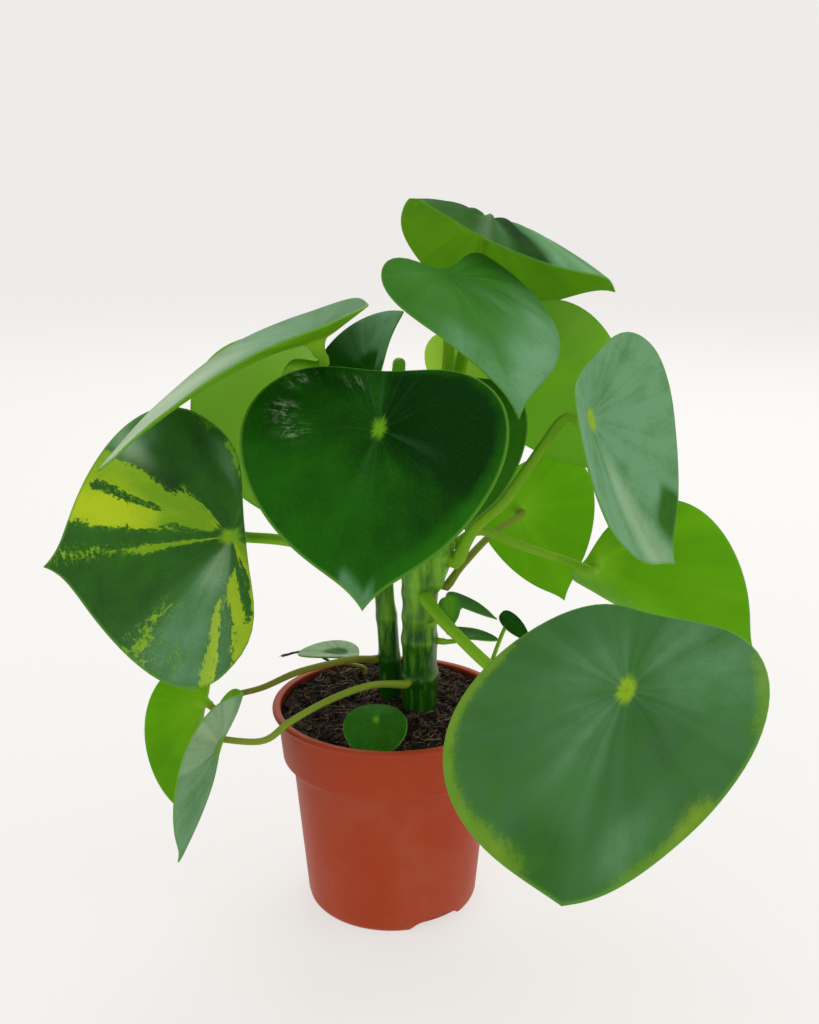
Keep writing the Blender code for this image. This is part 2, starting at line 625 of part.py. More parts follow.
def build_soil():
    bm = bmesh.new()
    turns = [2 * math.pi * i / SOIL_SPOKES for i in range(SOIL_SPOKES)]
    middle = bm.verts.new((0, 0, soil_height(0, 0)))
    rings = []
    top_radius = soil_radius(SOIL_TOP - SOIL_ROUGHNESS - SOIL_SLOPE * BAND_LOW_RADIUS)
    for ring in range(1, SOIL_RINGS + 1):
        radius = top_radius * ring / SOIL_RINGS
        spots = [(radius * math.cos(a), radius * math.sin(a)) for a in turns]
        rings.append([bm.verts.new((x, y, soil_height(x, y))) for x, y in spots])
    levels = (BAND_BOTTOM + FLOOR_ROUNDING, BAND_BOTTOM - SHOULDER_HEIGHT, BASE_STEP + FLOOR_ROUNDING + GAP)
    for level in levels:
        radius = soil_radius(level)
        rings.append([bm.verts.new((radius * math.cos(a), radius * math.sin(a), level)) for a in turns])
    for inner, outer in zip(rings, rings[1:]):
        for i in range(SOIL_SPOKES):
            j = (i + 1) % SOIL_SPOKES
            bm.faces.new((inner[i], outer[i], outer[j]))
            bm.faces.new((inner[i], outer[j], inner[j]))
    for i in range(SOIL_SPOKES):
        bm.faces.new((middle, rings[0][i], rings[0][(i + 1) % SOIL_SPOKES]))
    bm.faces.new(rings[-1])
    obj = new_object("soil", bm, PEAT, MATT)
    combine(obj, root_cutters(), "DIFFERENCE")
    finish_faces(obj)


def root_cutters():
    """A plain hole in the soil for each stem and each stalk that stands in it."""
    roots = []
    for stem in STEMS.values():
        path, radii = stem_path(stem)
        roots.append((path[:ROOT_RINGS], radii[:ROOT_RINGS] + ROOT_CLEARANCE, STEM_SIDES))
    for leaf in LEAVES:
        if leaf.stem is None:
            x, y = leaf.foot
            radius = STALK_FLARE * leaf.stalk_radii[0] + GAP
            ends = [(x, y, SOIL_TOP - ROOT_DEPTH), (x, y, SOIL_TOP + ROOT_DEPTH)]
            roots.append((ends, [radius] * 2, STALK_SIDES))
    low, high = Vector(DRY_STALK_POINTS[0]), Vector(DRY_STALK_POINTS[1])
    roots.append(([low - Vector((0, 0, GAP)), high], [DRY_STALK_RADIUS + GAP] * 2, STALK_SIDES))
    cutters = []
    for i, (path, radii, sides) in enumerate(roots):
        path = [Vector(p) for p in path]
        path[0] = path[0] - Vector((0, 0, GAP))
        cutters.append(new_object(f"root_{i}", tube(path, radii, sides), PEAT, MATT))
    return cutters


def build_dry_stalk():
    path, shares = smooth_path(DRY_STALK_POINTS, DRY_STALK_SPACING)
    radii = DRY_STALK_RADIUS * (1 - DRY_STALK_TAPER * shares)
    new_object("dry_stalk", tube(path, radii, STALK_SIDES), DRY_BROWN, MATT)


def main():
    clear_scene()
    build_pot()
    build_soil()
    build_stems()
    stems = {**STEMS, "branch": BRANCH}
    for leaf in LEAVES:
        build_leaf(leaf, stems)
    build_dry_stalk()


main()
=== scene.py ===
"""The looks of a potted peperomia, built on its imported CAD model.

Blender 4.5, +Z up, -Y towards the viewer. Shapes are worked out in millimetres and degrees, as in the
part's own source, and mesh_piece turns them into metres.
"""

import math
from dataclasses import dataclass

import bmesh
import bpy
import numpy as np
from bpy.props import FloatProperty, FloatVectorProperty, IntProperty, PointerProperty
from mathutils import Matrix, Vector, noise


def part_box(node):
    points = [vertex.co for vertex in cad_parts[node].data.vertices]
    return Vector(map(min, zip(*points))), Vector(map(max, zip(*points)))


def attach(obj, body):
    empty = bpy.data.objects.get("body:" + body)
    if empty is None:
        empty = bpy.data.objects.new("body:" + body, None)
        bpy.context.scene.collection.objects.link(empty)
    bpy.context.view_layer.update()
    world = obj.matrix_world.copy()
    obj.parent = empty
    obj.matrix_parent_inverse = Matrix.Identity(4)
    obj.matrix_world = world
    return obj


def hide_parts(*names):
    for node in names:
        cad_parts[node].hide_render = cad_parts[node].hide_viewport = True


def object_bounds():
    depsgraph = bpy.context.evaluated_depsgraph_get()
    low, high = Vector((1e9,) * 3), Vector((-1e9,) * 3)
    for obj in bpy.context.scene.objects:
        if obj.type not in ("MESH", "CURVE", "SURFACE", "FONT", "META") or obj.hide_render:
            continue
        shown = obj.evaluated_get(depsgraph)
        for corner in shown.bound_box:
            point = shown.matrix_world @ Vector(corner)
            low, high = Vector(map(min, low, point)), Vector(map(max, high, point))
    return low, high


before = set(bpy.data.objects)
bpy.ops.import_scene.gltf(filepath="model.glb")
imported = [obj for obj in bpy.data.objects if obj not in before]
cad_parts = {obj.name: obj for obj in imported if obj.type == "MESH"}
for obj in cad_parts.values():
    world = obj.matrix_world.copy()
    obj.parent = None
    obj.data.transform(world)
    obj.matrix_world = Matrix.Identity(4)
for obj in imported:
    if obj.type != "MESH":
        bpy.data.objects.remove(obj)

bl_info = {
    "name": "Potted Peperomia",
    "version": (1, 0, 0),
    "blender": (4, 5, 0),
    "location": "View3D > Sidebar > Peperomia",
    "description": "Builds a peperomia with broad leaves in a plastic nursery pot",
    "category": "Add Mesh",
}

MM = 0.001
BODY = "root"
CAD_BOX = [list(corner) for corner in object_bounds()]
POT_LOW, POT_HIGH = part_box("pot")
SOIL_LOW, SOIL_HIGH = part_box("soil")
SEED = 7

# Pot
FOOT_RADIUS = 39.6
FOOT_ROUNDING = 5.0
BODY_LOW_RADIUS = 43.6
BODY_TOP_RADIUS = 50.2
BAND_BOTTOM = 80.0
SHOULDER_HEIGHT = 3.5
BAND_LOW_RADIUS = 55.2
BAND_TOP_RADIUS = 57.6
BASE_THICKNESS = 2.0
BASE_STEP = 7.5
BASE_FLAT_RADIUS = 30.0
POT_STEPS = 288
RIM_ROUNDING = 1.2
LIP_UNDERSIDE = 0.9
INSIDE_DROP = 3.0
SHOULDER_SHARES = (0.15, 0.3, 0.45, 0.6, 0.75, 0.9)
FOOT_LANDINGS = (0.05, 1.5)
# where the inner wall shows above the soil: radii in metres, and heights in metres
INNER_WALL = (0.0563, 0.0556)
ABOVE_SOIL = (0.094, 0.097)
LIP_INSIDE = (0.1062, 0.1045)
ARCH_HEIGHT = 5.0
ARCH_SPAN = 42.0
ARCH_DEPTH = 33.5
ARCH_FIRST = -57.0
ARCH_COUNT = 3
ARCH_SQUARENESS = 6

# Soil
SOIL_TOP = 101.5
SOIL_ROUGHNESS = 1.6
SOIL_BUMP_LENGTH = 9.0
SOIL_SLOPE = 0.05
# roughness, how much finer each octave is, and how many there are
SOIL_OCTAVES = (0.9, 2.0, 3)
GRIT_OCTAVES = (0.7, 2.1, 4)
SOIL_RINGS = 70
SOIL_SPOKES = 144
GRIT_LENGTH = 2.2
GRIT_HEIGHT = 0.75
GAP = 0.3
# the soil's side under its top, as radii and heights
SOIL_SIDE = ((53.2, BAND_BOTTOM + 1.0), (48.2, BAND_BOTTOM - SHOULDER_HEIGHT), (41.6, BASE_STEP + 1.0 + GAP))
BIG_CRUMBS = (0.45, 1.0)
SMALL_CRUMBS = (0.2, 0.5)
CRUMB_SQUASH = (0.55, 1.25)
CRUMB_DENTS = 0.16
DENT_WAVES = (1.5, 3.5)
CRUMB_LIFT = (0.0, 0.5)
CRUMB_MARGIN = 1.5
FIBRE_MARGIN = 2.0
FIBRE_LENGTHS = (2.0, 9.0)
FIBRE_BOW = 0.35
FIBRE_LIFTS = (0.5, 1.6)
FIBRE_RADII = (0.09, 0.22)
FIBRE_TILT = 0.7
FIBRE_CLEARANCE = 0.6
FIBRE_PALENESS = (0.35, 1.0)
FIBRE_STEPS = 7
FIBRE_SIDES = 5

# Dried stalk
DRY_RADIUS = 0.95
DRY_TAPER = 0.35
DRY_SIDES = 14
DRY_SPACING = 0.8
DRY_WRINKLES = 0.108
DRY_BULGES = 0.15
STRANDS = 4
STRAND_RADII = (0.45, 0.12)
STRAND_SPREAD = 0.35
STRAND_REACH = (0.5, 1.0)
STRAND_STEPS = 5
STRAND_SIDES = 6

# Blades and stalks
FOOT_STRETCH = 3.0
# how far a stalk's foot reaches into its stem, so that it looks grown from it
STALK_SINK = 1.2
HUB_STRETCH = 12.0
HUB_STRETCH_SHARE = 0.12
ROOT_DEPTH = 8.0
STALK_FLARE = 1.25
STALK_SPACING = 2.2
STALK_GROOVE = 0.10
GROOVE_SPREAD = 30
STALK_UNEVEN = 0.02
# shares of the stalk's length: its foot, where its flare ends, where it is thinnest, and the hub
STALK_SHARES = (0.0, 0.10, 0.85, 1.0)
FLARE_REACH = 2.4
FLARE_LIMIT = 0.72
FILLET_DEPTH = 2.2
STEM_SIDES = 40
STEM_UNEVEN = 0.35
STEM_DOME = (25, 50, 70, 85)
JOINT_WIDTH = 1.3
COLLAR_FLATNESS = 0.75
COLLAR_SINK = 0.55
STEM_SPACING = 1.2
JOINT_SPREAD = 3.5
SPOKES = 96
SMALL_SPOKES = 48
BLADE_RINGS = 30
SMALL_BLADE_RINGS = 14
SMALL_LENGTH = 45.0
# how much closer together the spokes stand at the tip
TIP_CROWDING = 0.35
CREASE = 0.12
# how wide the drip tip and the notch are, in radians round the hub
TIP_WIDTH = 0.2
NOTCH_WIDTH = 0.4
STRIPS = (np.arange(24) + 0.5) / 24
# turns of the rounded margin and of the fillet under the hub, in quarter circles
MARGIN_TURNS = (1 / 3, 2 / 3)
FILLET_TURNS = (0.0, 0.2, 0.4, 0.6, 0.8, 1.0)
# main veins, as angles from the tip, and how fast they turn towards it, in degrees for each millimetre
VEINS = (0, 33, -33, 68, -68, 108, -108, 150, -150)
VEIN_TURN = 0.16
VEIN_WIDTH = 1.5
VEIN_WIDENING = 0.03
VEIN_START = 5
PLEAT_SPREAD = 60
PLEAT_WAVES = 14
PLEAT_RADIUS = 22
PLEAT_REACH = 16
WAVE_LENGTH = 26
WAVE_START = 30
# the kinds of patches that each painted field of a leaf holds
FIELDS = {"tint": ("lime", "bloom", "dark"), "marks": ("worn_highlight", "yellow", "wax_and_highlight")}

# Finishes: how many spots of each noise there are in a metre, and other values that several of them use
MOTTLE = 75.0
STIPPLE = 1050.0
SKIN_GRAIN = 2600.0
SKIN_RELIEF = 0.00025
PLANT_IOR = 1.45
# share of dark green from which a leaf's lighter green is the deep one
DEEP_FROM = 0.7
# share of a blade's radius where its clear margin, painted paler where light catches the edge, begins and is
# full
MARGIN_BAND = (0.972, 0.994)
# millimetres from the hub where the pale rays fade out and are full, and the same for the bright underside
RAY_FADE = (42.0, 4.0)
HUB_GLOW = (20.0, 2.0)
HUB_EDGE = (-2.6, 1.8)
HUB_OVAL = (1.35, 0.8)

# Stage, in metres and degrees
PLANT_MIDDLE = (0.0, 0.0, 0.2)
FLOOR_SHARES = (0.1, 0.3, 0.6, 1.0)
FLOOR_SIDES = 96
WALL_BEND = 1.2
WALL_TURNS = (15, 30, 45, 60, 75, 90)
WALL_HEIGHT = 2.6
BACK_LIGHT = ((0.35, 1.3, 1.5), (1.6, 1.2))
FRONT_LIGHT = ((-0.9, -1.6, 1.1), (1.4, 1.4))
SIDE_LIGHT = ((1.5, -0.2, 0.8), (0.9, 1.2))
CAMERA_PLACE = (0.009, -0.6058, 0.3764)
CAMERA_TILT = 74.2
SENSOR = 36.0


@dataclass
class Stem:
    """A stem: axis points from the soil up, the radius at each, and the heights of its swollen joints."""

    points: list
    radii: list
    joints: tuple = ()
    swelling: float = 0.09


@dataclass
class Patch:
    """A part of a blade, as an angle from the tip, positive to the right, and shares out to the margin."""

    kind: str
    angle: float
    spread: float
    inner: float
    outer: float
    amount: float
    softness: float = 4.0
    blur: float = 0.04


@dataclass
class Leaf:
    """One leaf. The hub is where the stalk meets the blade; +x of the blade is right of its midrib."""

    name: str
    hub: tuple
    heading: float
    pitch: float
    roll: float
    length: float
    width: float
    look: str = "mid"
    hub_at: float = 0.33
    egg_right: float = 0.25
    egg_left: float = 0.25
    wide_right: float = 1.0
    wide_left: float = 1.0
    point: float = 0.10
    notch: float = 0.03
    arch: float = 10.0
    base_arch: float = 10.0
    fold_right: float = 6.0
    fold_left: float = 6.0
    curl_right: float = 8.0
    curl_left: float = 8.0
    twist: float = 0.0
    funnel: float = 3.0
    funnel_radius: float = 14.0
    stem: str = None
    foot: tuple = (0.0, 0.0)
    stalk: tuple = ()
    stalk_radii: tuple = (3.0, 2.2)
    # relief of the radial folds beside the hub, in millimetres, and where they lie
    pleats: float = 0.0
    pleat_angle: float = 0.0
    # radius of the pale spot over the stalk
    spot: float = 4.0
    olive: float = 0.0
    # how pale the underside is, as it is where light comes through it
    pale_below: float = 0.0
    patches: tuple = ()


@dataclass
class Look:
    """How one kind of leaf is coloured: shares of dark green and bloom, gloss, and light that passes."""

    slot: str
    dark: float
    bloom: float
    roughness: float
    see_through: float
    specular: float = 0.25
    rays: float = 0.35
    # how far the margin is painted paler, as where light catches its translucent edge
    rim: float = 0.6
    # how far lime shows, how soft its edge is, and how much broad streaks and fine flecks break it up
    lime: float = 0.0
    lime_edge: float = 0.03
    streaks: float = 1.1
    flecks: float = 1.5


LOOKS = {
    "glaucous": Look("leaf_grey_green", dark=0.3, bloom=0.75, roughness=0.42, see_through=0.15, specular=0.14,
                     rays=0.2),
    "soft": Look("leaf_grey_green", dark=0.3, bloom=0.7, roughness=0.6, see_through=0.15, specular=0.02,
                 rays=0.2),
    "mid": Look("leaf_green", dark=0.2, bloom=0.05, roughness=0.4, see_through=0.12, specular=0.05, rays=0.1),
    "dark": Look("leaf_dark", dark=0.72, bloom=0.0, roughness=0.33, see_through=0.02, specular=0.03,
                 rays=0.09),
    "bright": Look("leaf_bright", dark=0.2, bloom=0.1, roughness=0.42, see_through=0.4, specular=0.15),
    "fresh": Look("leaf_dark", dark=0.35, bloom=0.0, roughness=0.36, see_through=0.04, specular=0.04,
                  rays=0.08),
    # pale: a small leaf painted pale all over for the light that shines through it
    "pale": Look("leaf_bright", dark=0.2, bloom=0.1, roughness=0.42, see_through=0.5, specular=0.1,
                 lime=1.0, streaks=0.3, flecks=0.3),
    "variegated": Look("leaf_variegated", dark=0.55, bloom=0.03, roughness=0.36, see_through=0.06,
                       specular=0.08, rays=0.2, lime=1.0, flecks=1.2),
    "margined": Look("leaf_margined", dark=0.42, bloom=0.2, roughness=0.4, see_through=0.05, specular=0.1,
                     rays=0.15, lime=0.5, lime_edge=0.48, streaks=0.4, flecks=0.4),
}

STEMS = {
    "stem_front": Stem(
        points=[(14, 5, 91), (14, 4, 112), (14, 1, 140), (14, 0, 165), (12, 1, 190), (16, 3, 222),
                (22, 5, 254)],
        radii=[8.6, 8.6, 8.2, 8.0, 6.6, 5.6, 4.2],
        joints=(119, 139, 151, 164, 206, 225, 236, 247),
    ),
    "stem_back": Stem(
        points=[(-1, 17, 91), (-1, 14, 112), (-2, 11, 140), (-4, 10, 165), (-4, 10, 200), (1, 9, 240),
                (4, 8, 276)],
        radii=[5.4, 5.2, 5.0, 4.6, 4.2, 3.8, 3.0],
        joints=(124, 148, 172, 204, 236, 248),
    ),
}
BRANCH_OF = "stem_front"
BRANCH = Stem(
    points=[(13, 0, 158), (20, -2, 170), (25, -3, 184), (27, -3, 196)],
    radii=[4.6, 5.0, 4.8, 4.0],
    joints=(170, 184),
)

LEAVES = [
    Leaf("leaf_top_back", (47, 35, 343), 18, -19, -19, 123, 108, "soft", hub_at=0.37, egg_right=0.1,
         egg_left=-0.2, arch=35, base_arch=45, fold_right=-25, fold_left=-25, curl_right=-25, curl_left=-15,
         stem="stem_front", foot=(247, 40), stalk=((32, 6, 268), (38, 9, 300)), stalk_radii=(3.2, 2.4),
         pleats=1.6, pleat_angle=95, spot=1.5,
         patches=(
             # painted light and shade: the narrow dark patch at 80 degrees, with its wax taken away, is shade
             # in the fold, and the thin pale streak at 112 degrees is a painted highlight on it
             Patch("dark", 150, 55, 0.0, 1.1, 0.3, 12),
             Patch("bloom", 150, 55, 0.0, 1.1, -0.75, 12),
             Patch("dark", 80, 12, 0.0, 1.1, 0.6, 5),
             Patch("bloom", 80, 12, 0.0, 1.1, -0.9, 5),
             Patch("wax_and_highlight", 112, 3, 0.1, 1.1, 0.3, 3),
             Patch("wax_and_highlight", 30, 20, 0.3, 1.1, 0.1, 12, 0.15),
         ),
         pale_below=0.12),
    Leaf("leaf_top_front", (27, -22, 322), -59, -31, 0, 104, 94, "mid", hub_at=0.23, egg_right=0.6,
         egg_left=0.0, wide_right=0.72, wide_left=1.03, point=0.13, notch=0.18, arch=40, base_arch=-50,
         fold_right=0, fold_left=0, curl_right=-38, curl_left=-25,
         stem="stem_front", foot=(243, -60), stalk=((26, -7, 262), (27, -10, 294)), stalk_radii=(3.2, 2.4),
         pleats=1.3, pleat_angle=-40, spot=-8.0,
         patches=(
             Patch("dark", 0, 180, 0.0, 1.1, -0.2),
             Patch("bloom", -40, 35, 0.6, 1.1, 0.6, 20, 0.15),
             Patch("bloom", 0, 30, 0.75, 1.1, 0.6, 15, 0.1),
             # painted light and shade along the pleats: the thin pale line at -35 degrees is a painted
             # highlight, the thin dark lines at -45 and -26 degrees painted shade in the creases
             Patch("bloom", -35, 3, 0.15, 0.5, 0.3, 2, 0.1),
             Patch("dark", -45, 4, 0.15, 0.6, 0.4, 3, 0.1),
             Patch("dark", -26, 3, 0.15, 0.5, 0.4, 3, 0.1),
         )),
    Leaf("leaf_left_long", (-33, -45, 298), -171, -18, -2, 143, 118, "glaucous", hub_at=0.22,
         egg_right=0.5, arch=35, base_arch=-100, fold_right=-3, fold_left=9, curl_right=3, curl_left=8,
         twist=3,
         stem="stem_back", foot=(236, 185), stalk=((-22, 5, 247), (-47, -4, 263), (-43, -34, 282)),
         stalk_radii=(3.0, 2.2),
         # painted highlight: the pale tip, where light from above glints on the wax
         patches=(Patch("wax_and_highlight", 0, 40, 0.5, 1.1, 1.2, 20, 0.15),
                  Patch("bloom", 170, 80, 0.0, 1.1, -0.3, 20))),
    Leaf("leaf_left_behind", (-57, 32, 256), -38, -85, 180, 104, 102, "bright",
         stem="stem_back", foot=(204, 165), stalk=((-26, 13, 212), (-48, 18, 236)), stalk_radii=(2.8, 2.0),
         pale_below=0.7, patches=(Patch("dark", 0, 180, 0.0, 1.1, -0.4),)),
    Leaf("leaf_variegated", (-72, -50, 208), 160, -14, -72, 128, 130, "variegated", hub_at=0.14,
         egg_right=0.3, egg_left=0.5, wide_right=0.96, wide_left=1.05, point=0.13, notch=0.08, base_arch=255,
         stem="stem_back", foot=(172, 215), stalk=((-24, -14, 184), (-44, -34, 200)), stalk_radii=(2.8, 2.4),
         patches=(
             Patch("lime", 27, 15, 0.10, 1.1, 1.0, 3),
             Patch("lime", 50, 7, 0.10, 0.45, 0.7, 4),
             Patch("yellow", 18, 8, 0.45, 1.1, 0.9, 4),
             Patch("yellow", 27, 15, 0.6, 1.1, 0.2, 4),
             Patch("yellow", -105, 25, 0.2, 1.1, 0.5, 4),
             Patch("yellow", -79, 4, 0.4, 1.1, 0.4, 2),
             Patch("lime", 27, 2.5, 0.42, 0.95, -0.85, 2),
             Patch("lime", 17, 4, 0.12, 0.42, -0.6, 3),
             Patch("lime", 44, 5, 0.74, 1.1, -0.25, 3),
             Patch("lime", 0, 3, 0.04, 0.5, 0.75, 2),
             Patch("lime", 2, 3, 0.5, 1.1, 0.42, 2),
             Patch("lime", -42, 8, 0.5, 1.1, 0.42, 3),
             Patch("lime", -60, 8, 0.72, 1.1, 0.3, 4),
             Patch("yellow", 0, 180, 0.0, 0.1, 0.25),
             Patch("lime", -79, 3, 0.42, 1.1, 0.85, 2),
             Patch("lime", -96, 12, 0.3, 1.1, 0.72, 3),
             Patch("lime", -130, 20, 0.12, 1.1, 1.0, 5),
             Patch("lime", -103, 3, 0.3, 0.9, -0.7, 2),
             Patch("lime", 103, 22, 0.9, 1.1, 0.46, 6),
             Patch("lime", 104, 4, 0.72, 0.95, 0.42, 2),
             Patch("lime", -114, 2.5, 0.45, 0.9, -1.0, 2),
             Patch("lime", -128, 2.5, 0.6, 1.0, -0.95, 2),
             Patch("lime", -88, 2.5, 0.5, 1.1, -0.6, 2),
             # painted highlights: the pale patches at 48 and -66 degrees
             Patch("wax_and_highlight", 48, 4, 0.72, 1.0, 0.35, 2, 0.08),
             Patch("bloom", 100, 8, 0.62, 0.9, 0.4, 4),
             Patch("bloom", -66, 22, 0.1, 1.0, 0.5, 10),
             Patch("bloom", 50, 8, 0.8, 1.1, 0.5, 6),
             Patch("wax_and_highlight", -66, 16, 0.03, 0.35, 0.3, 8),
             Patch("dark", 75, 25, 0.1, 0.9, 0.1, 10),
         )),
    Leaf("leaf_low_left_behind", (-94, -22, 117), 161, -78, 13, 93, 52, "bright", hub_at=0.27,
         fold_right=25, fold_left=25, curl_right=10, curl_left=10,
         stem="stem_back", foot=(124, 190),
         stalk=((-21, 0, 128), (-45, -10, 126), (-63, -16, 120), (-78, -20, 117)),
         stalk_radii=(1.8, 1.5), olive=1.0,
         patches=(Patch("bloom", 0, 180, 0.0, 1.1, -0.1), Patch("dark", -14, 40, 0.6, 1.1, 0.6, 15))),
    Leaf("leaf_low_left_front", (-75, -66, 112), -152, -68, -131, 87, 62, "glaucous",
         fold_right=-5, fold_left=-40, curl_right=-8, curl_left=-10,
         stem="stem_front", foot=(119, 235),
         stalk=((-10, -18, 122), (-29, -28, 119), (-47, -44, 115), (-60, -57, 111)),
         stalk_radii=(1.8, 1.5), olive=0.7,
         patches=(Patch("wax_and_highlight", 130, 60, 0.2, 1.1, 0.5, 20), Patch("dark", 20, 30, 0.3, 1.1, 0.2, 15))),
    Leaf("leaf_centre_front", (-4, -75, 263), -101, -56, 0, 109, 114, "dark", hub_at=0.29,
         egg_right=0.19, egg_left=0.23, point=0.12, notch=0.05, arch=25, base_arch=25,
         stem="stem_front", foot=(225, -110), stalk=((10, -18, 234), (3, -44, 248)), stalk_radii=(3.0, 2.4),
         spot=3.2,
         patches=(
             # painted light and shade: the right half is darker and the left half lighter, as the light
             # falls; the scuff patches are painted highlights
             Patch("dark", -100, 60, 0.0, 0.9, 0.6, 25, 0.06),
             Patch("dark", 20, 60, 0.3, 1.1, -0.3, 20, 0.1),
             Patch("dark", -45, 40, 0.88, 1.1, -0.5, 20),
             Patch("bloom", 3, 6, 0.9, 1.1, 0.5, 1, 0.02),
             Patch("worn_highlight", 149, 5, 0.66, 0.84, 1.0, 3),
             Patch("worn_highlight", 94, 5, 0.66, 0.84, 0.8, 3),
             Patch("worn_highlight", 81, 4, 0.52, 0.7, 0.8, 3),
             Patch("worn_highlight", 118, 8, 0.8, 0.95, 0.5, 4),
         )),
    Leaf("leaf_right_upright", (92, -35, 258), 43, -65, 75, 124, 99, "glaucous", hub_at=0.31,
         egg_right=0.17, egg_left=0.21, point=0.07, notch=0.1, arch=-40, base_arch=-16, fold_right=16,
         fold_left=16, curl_right=12, curl_left=8,
         stem="branch", foot=(184, -30), stalk=((40, -9, 199), (54, -15, 215), (70, -25, 243)),
         stalk_radii=(3.0, 2.4),
         patches=(
             Patch("bloom", 0, 180, 0.0, 1.1, 0.2, 10),
             # painted light and shade: the pale patch at 8 degrees is a painted highlight; the dark corner at
             # -14 degrees, with its wax taken away, is the fold's painted shade
             Patch("wax_and_highlight", 8, 9, 0.3, 1.1, 0.5, 5, 0.1),
             Patch("dark", -14, 8, 0.82, 1.1, 0.1, 2),
             Patch("bloom", -14, 8, 0.82, 1.1, -1.3, 2),
             Patch("wax_and_highlight", -14, 8, 0.82, 1.1, -0.9, 2),
             Patch("yellow", 0, 180, 0.0, 0.2, 0.7),
         )),
    Leaf("leaf_right_behind", (102, 20, 174), -4, -29, -87, 100, 98, "bright", hub_at=0.05, notch=0.0,
         base_arch=300, fold_right=5, fold_left=30, curl_right=5, curl_left=60,
         stem="branch", foot=(190, 30), stalk=((44, 5, 194), (64, 10, 185), (84, 14, 177)),
         stalk_radii=(2.4, 2.0), patches=(Patch("dark", 0, 180, 0.0, 1.1, 0.25),)),
    Leaf("leaf_front_right", (96, -120, 165), -128, -53.5, 1, 130, 136, "margined", hub_at=0.31,
         egg_right=-0.25, egg_left=0.41, wide_left=0.96, point=0.03, notch=0.05, arch=20, base_arch=40,
         stem="stem_front", foot=(164, -75), stalk=((28, -40, 160), (52, -76, 150), (78, -100, 150)),
         stalk_radii=(3.0, 2.3), pleats=0.25, spot=4.5,
         patches=(
             Patch("lime", 58, 34, 0.955, 1.1, 1.4, 6, 0.045),
             Patch("lime", 80, 9, 0.93, 1.1, 0.3, 4),
             Patch("lime", 22, 9, 0.9, 1.1, 0.65, 4, 0.05),
             Patch("lime", -36, 22, 0.95, 1.1, 0.9, 5, 0.04),
             Patch("lime", -50, 8, 0.87, 1.1, 0.45, 3),
             Patch("lime", -100, 14, 0.92, 1.1, 0.8, 5, 0.04),
             Patch("yellow", -45, 12, 0.8, 1.1, 0.4),
             Patch("yellow", 60, 40, 0.97, 1.1, 0.3),
             Patch("bloom", 105, 35, 0.0, 0.5, 0.3, 20, 0.15),
             Patch("bloom", -125, 35, 0.3, 1.1, 0.3, 15, 0.1),
             Patch("bloom", 40, 18, 0.0, 0.4, 0.25, 8, 0.15),
             Patch("bloom", 21, 4, 0.0, 0.55, 0.22, 4, 0.2),
             Patch("bloom", 2, 3, 0.0, 0.6, 0.2, 3, 0.2),
             Patch("bloom", -22, 12, 0.7, 0.92, 0.3, 8, 0.06),
             Patch("bloom", 10, 12, 0.7, 1.1, -0.15, 8, 0.06),
             Patch("yellow", 0, 180, 0.0, 0.15, 0.6),
             Patch("dark", -60, 20, 0.1, 0.6, 0.2, 10),
         )),
    Leaf("leaf_upper_right_behind", (72, 38, 267), 9, -48, -65, 109, 80, "bright",
         stem="stem_front", foot=(225, 50), stalk=((32, 20, 236), (50, 26, 252)), stalk_radii=(2.8, 2.2),
         pale_below=0.4),
    Leaf("leaf_mid_right_behind", (65, 58, 191), 14, -62, -87, 83, 72, "bright", hub_at=0.27,
         wide_right=1.25, wide_left=0.62, curl_right=5, curl_left=40,
         stem="branch", foot=(170, 15), stalk=((36, 6, 177), (52, 26, 187)), stalk_radii=(2.0, 1.6),
         olive=0.8),
    Leaf("leaf_centre_right", (38, -30, 254), -116, -77, 0, 72, 56, "fresh",
         stem="stem_front", foot=(206, -40), stalk=((24, -10, 220), (32, -18, 240)), stalk_radii=(2.4, 1.9),
         patches=(Patch("dark", -60, 60, 0.0, 0.97, -0.35, 15),)),
    Leaf("leaf_upper_middle", (35, 24, 277), -41, -86, -113, 43, 42, "pale",
         stem="stem_front", foot=(236, 110), stalk=((18, 14, 250), (26, 14, 264)), stalk_radii=(1.9, 1.5),
         # painted light: the whole blade is painted pale lime and yellow, and its underside pale, as where
         # light shines through it from behind
         pale_below=1.0,
         patches=(Patch("lime", 0, 180, 0.0, 1.1, 1.0), Patch("yellow", 0, 180, 0.0, 1.1, 0.5))),
    Leaf("leaf_upper_dark", (-11, -22, 277), -146, -60, 0, 88, 51, "dark", hub_at=0.38, egg_right=0.0,
         egg_left=-0.65, wide_right=1.3, wide_left=0.45, point=0.0, notch=0.0, base_arch=44, curl_left=-60,
         stem="stem_back", foot=(248, 250), stalk=((-3, -4, 258),), stalk_radii=(2.2, 1.8), spot=-8.0,
         patches=(Patch("bloom", 175, 50, 0.35, 1.1, 0.9, 20), Patch("dark", 0, 180, 0.0, 1.1, -0.3))),
    Leaf("leaf_soil_front", (-7, -35, 112), -92, -30, 0, 29, 31, "fresh", hub_at=0.3, point=0.0,
         notch=0.0, egg_right=0.0, egg_left=0.0,
         funnel=1.0, funnel_radius=5.0,
         foot=(-8, -18), stalk=((-8, -20, 106),), stalk_radii=(1.3, 1.0), spot=1.0,
         patches=(Patch("dark", 0, 180, 0.0, 1.1, 0.15), Patch("bloom", 180, 60, 0.4, 1.1, 0.12, 20))),
    Leaf("leaf_soil_back", (-27, 25, 122), 180, 1, 0, 33, 24, "glaucous", point=0.0,
         funnel=1.0, funnel_radius=5.0, spot=-8.0, olive=1.0,
         foot=(-15, 40), stalk=((-16, 39, 108),), stalk_radii=(1.2, 0.9),
         # painted highlight: the pale outer part, where light glints on the fold
         patches=(Patch("bloom", 0, 180, 0.0, 1.1, -0.8), Patch("wax_and_highlight", 0, 180, 0.4, 1.1, 0.6),
                  Patch("dark", 0, 180, 0.0, 0.5, 0.3))),
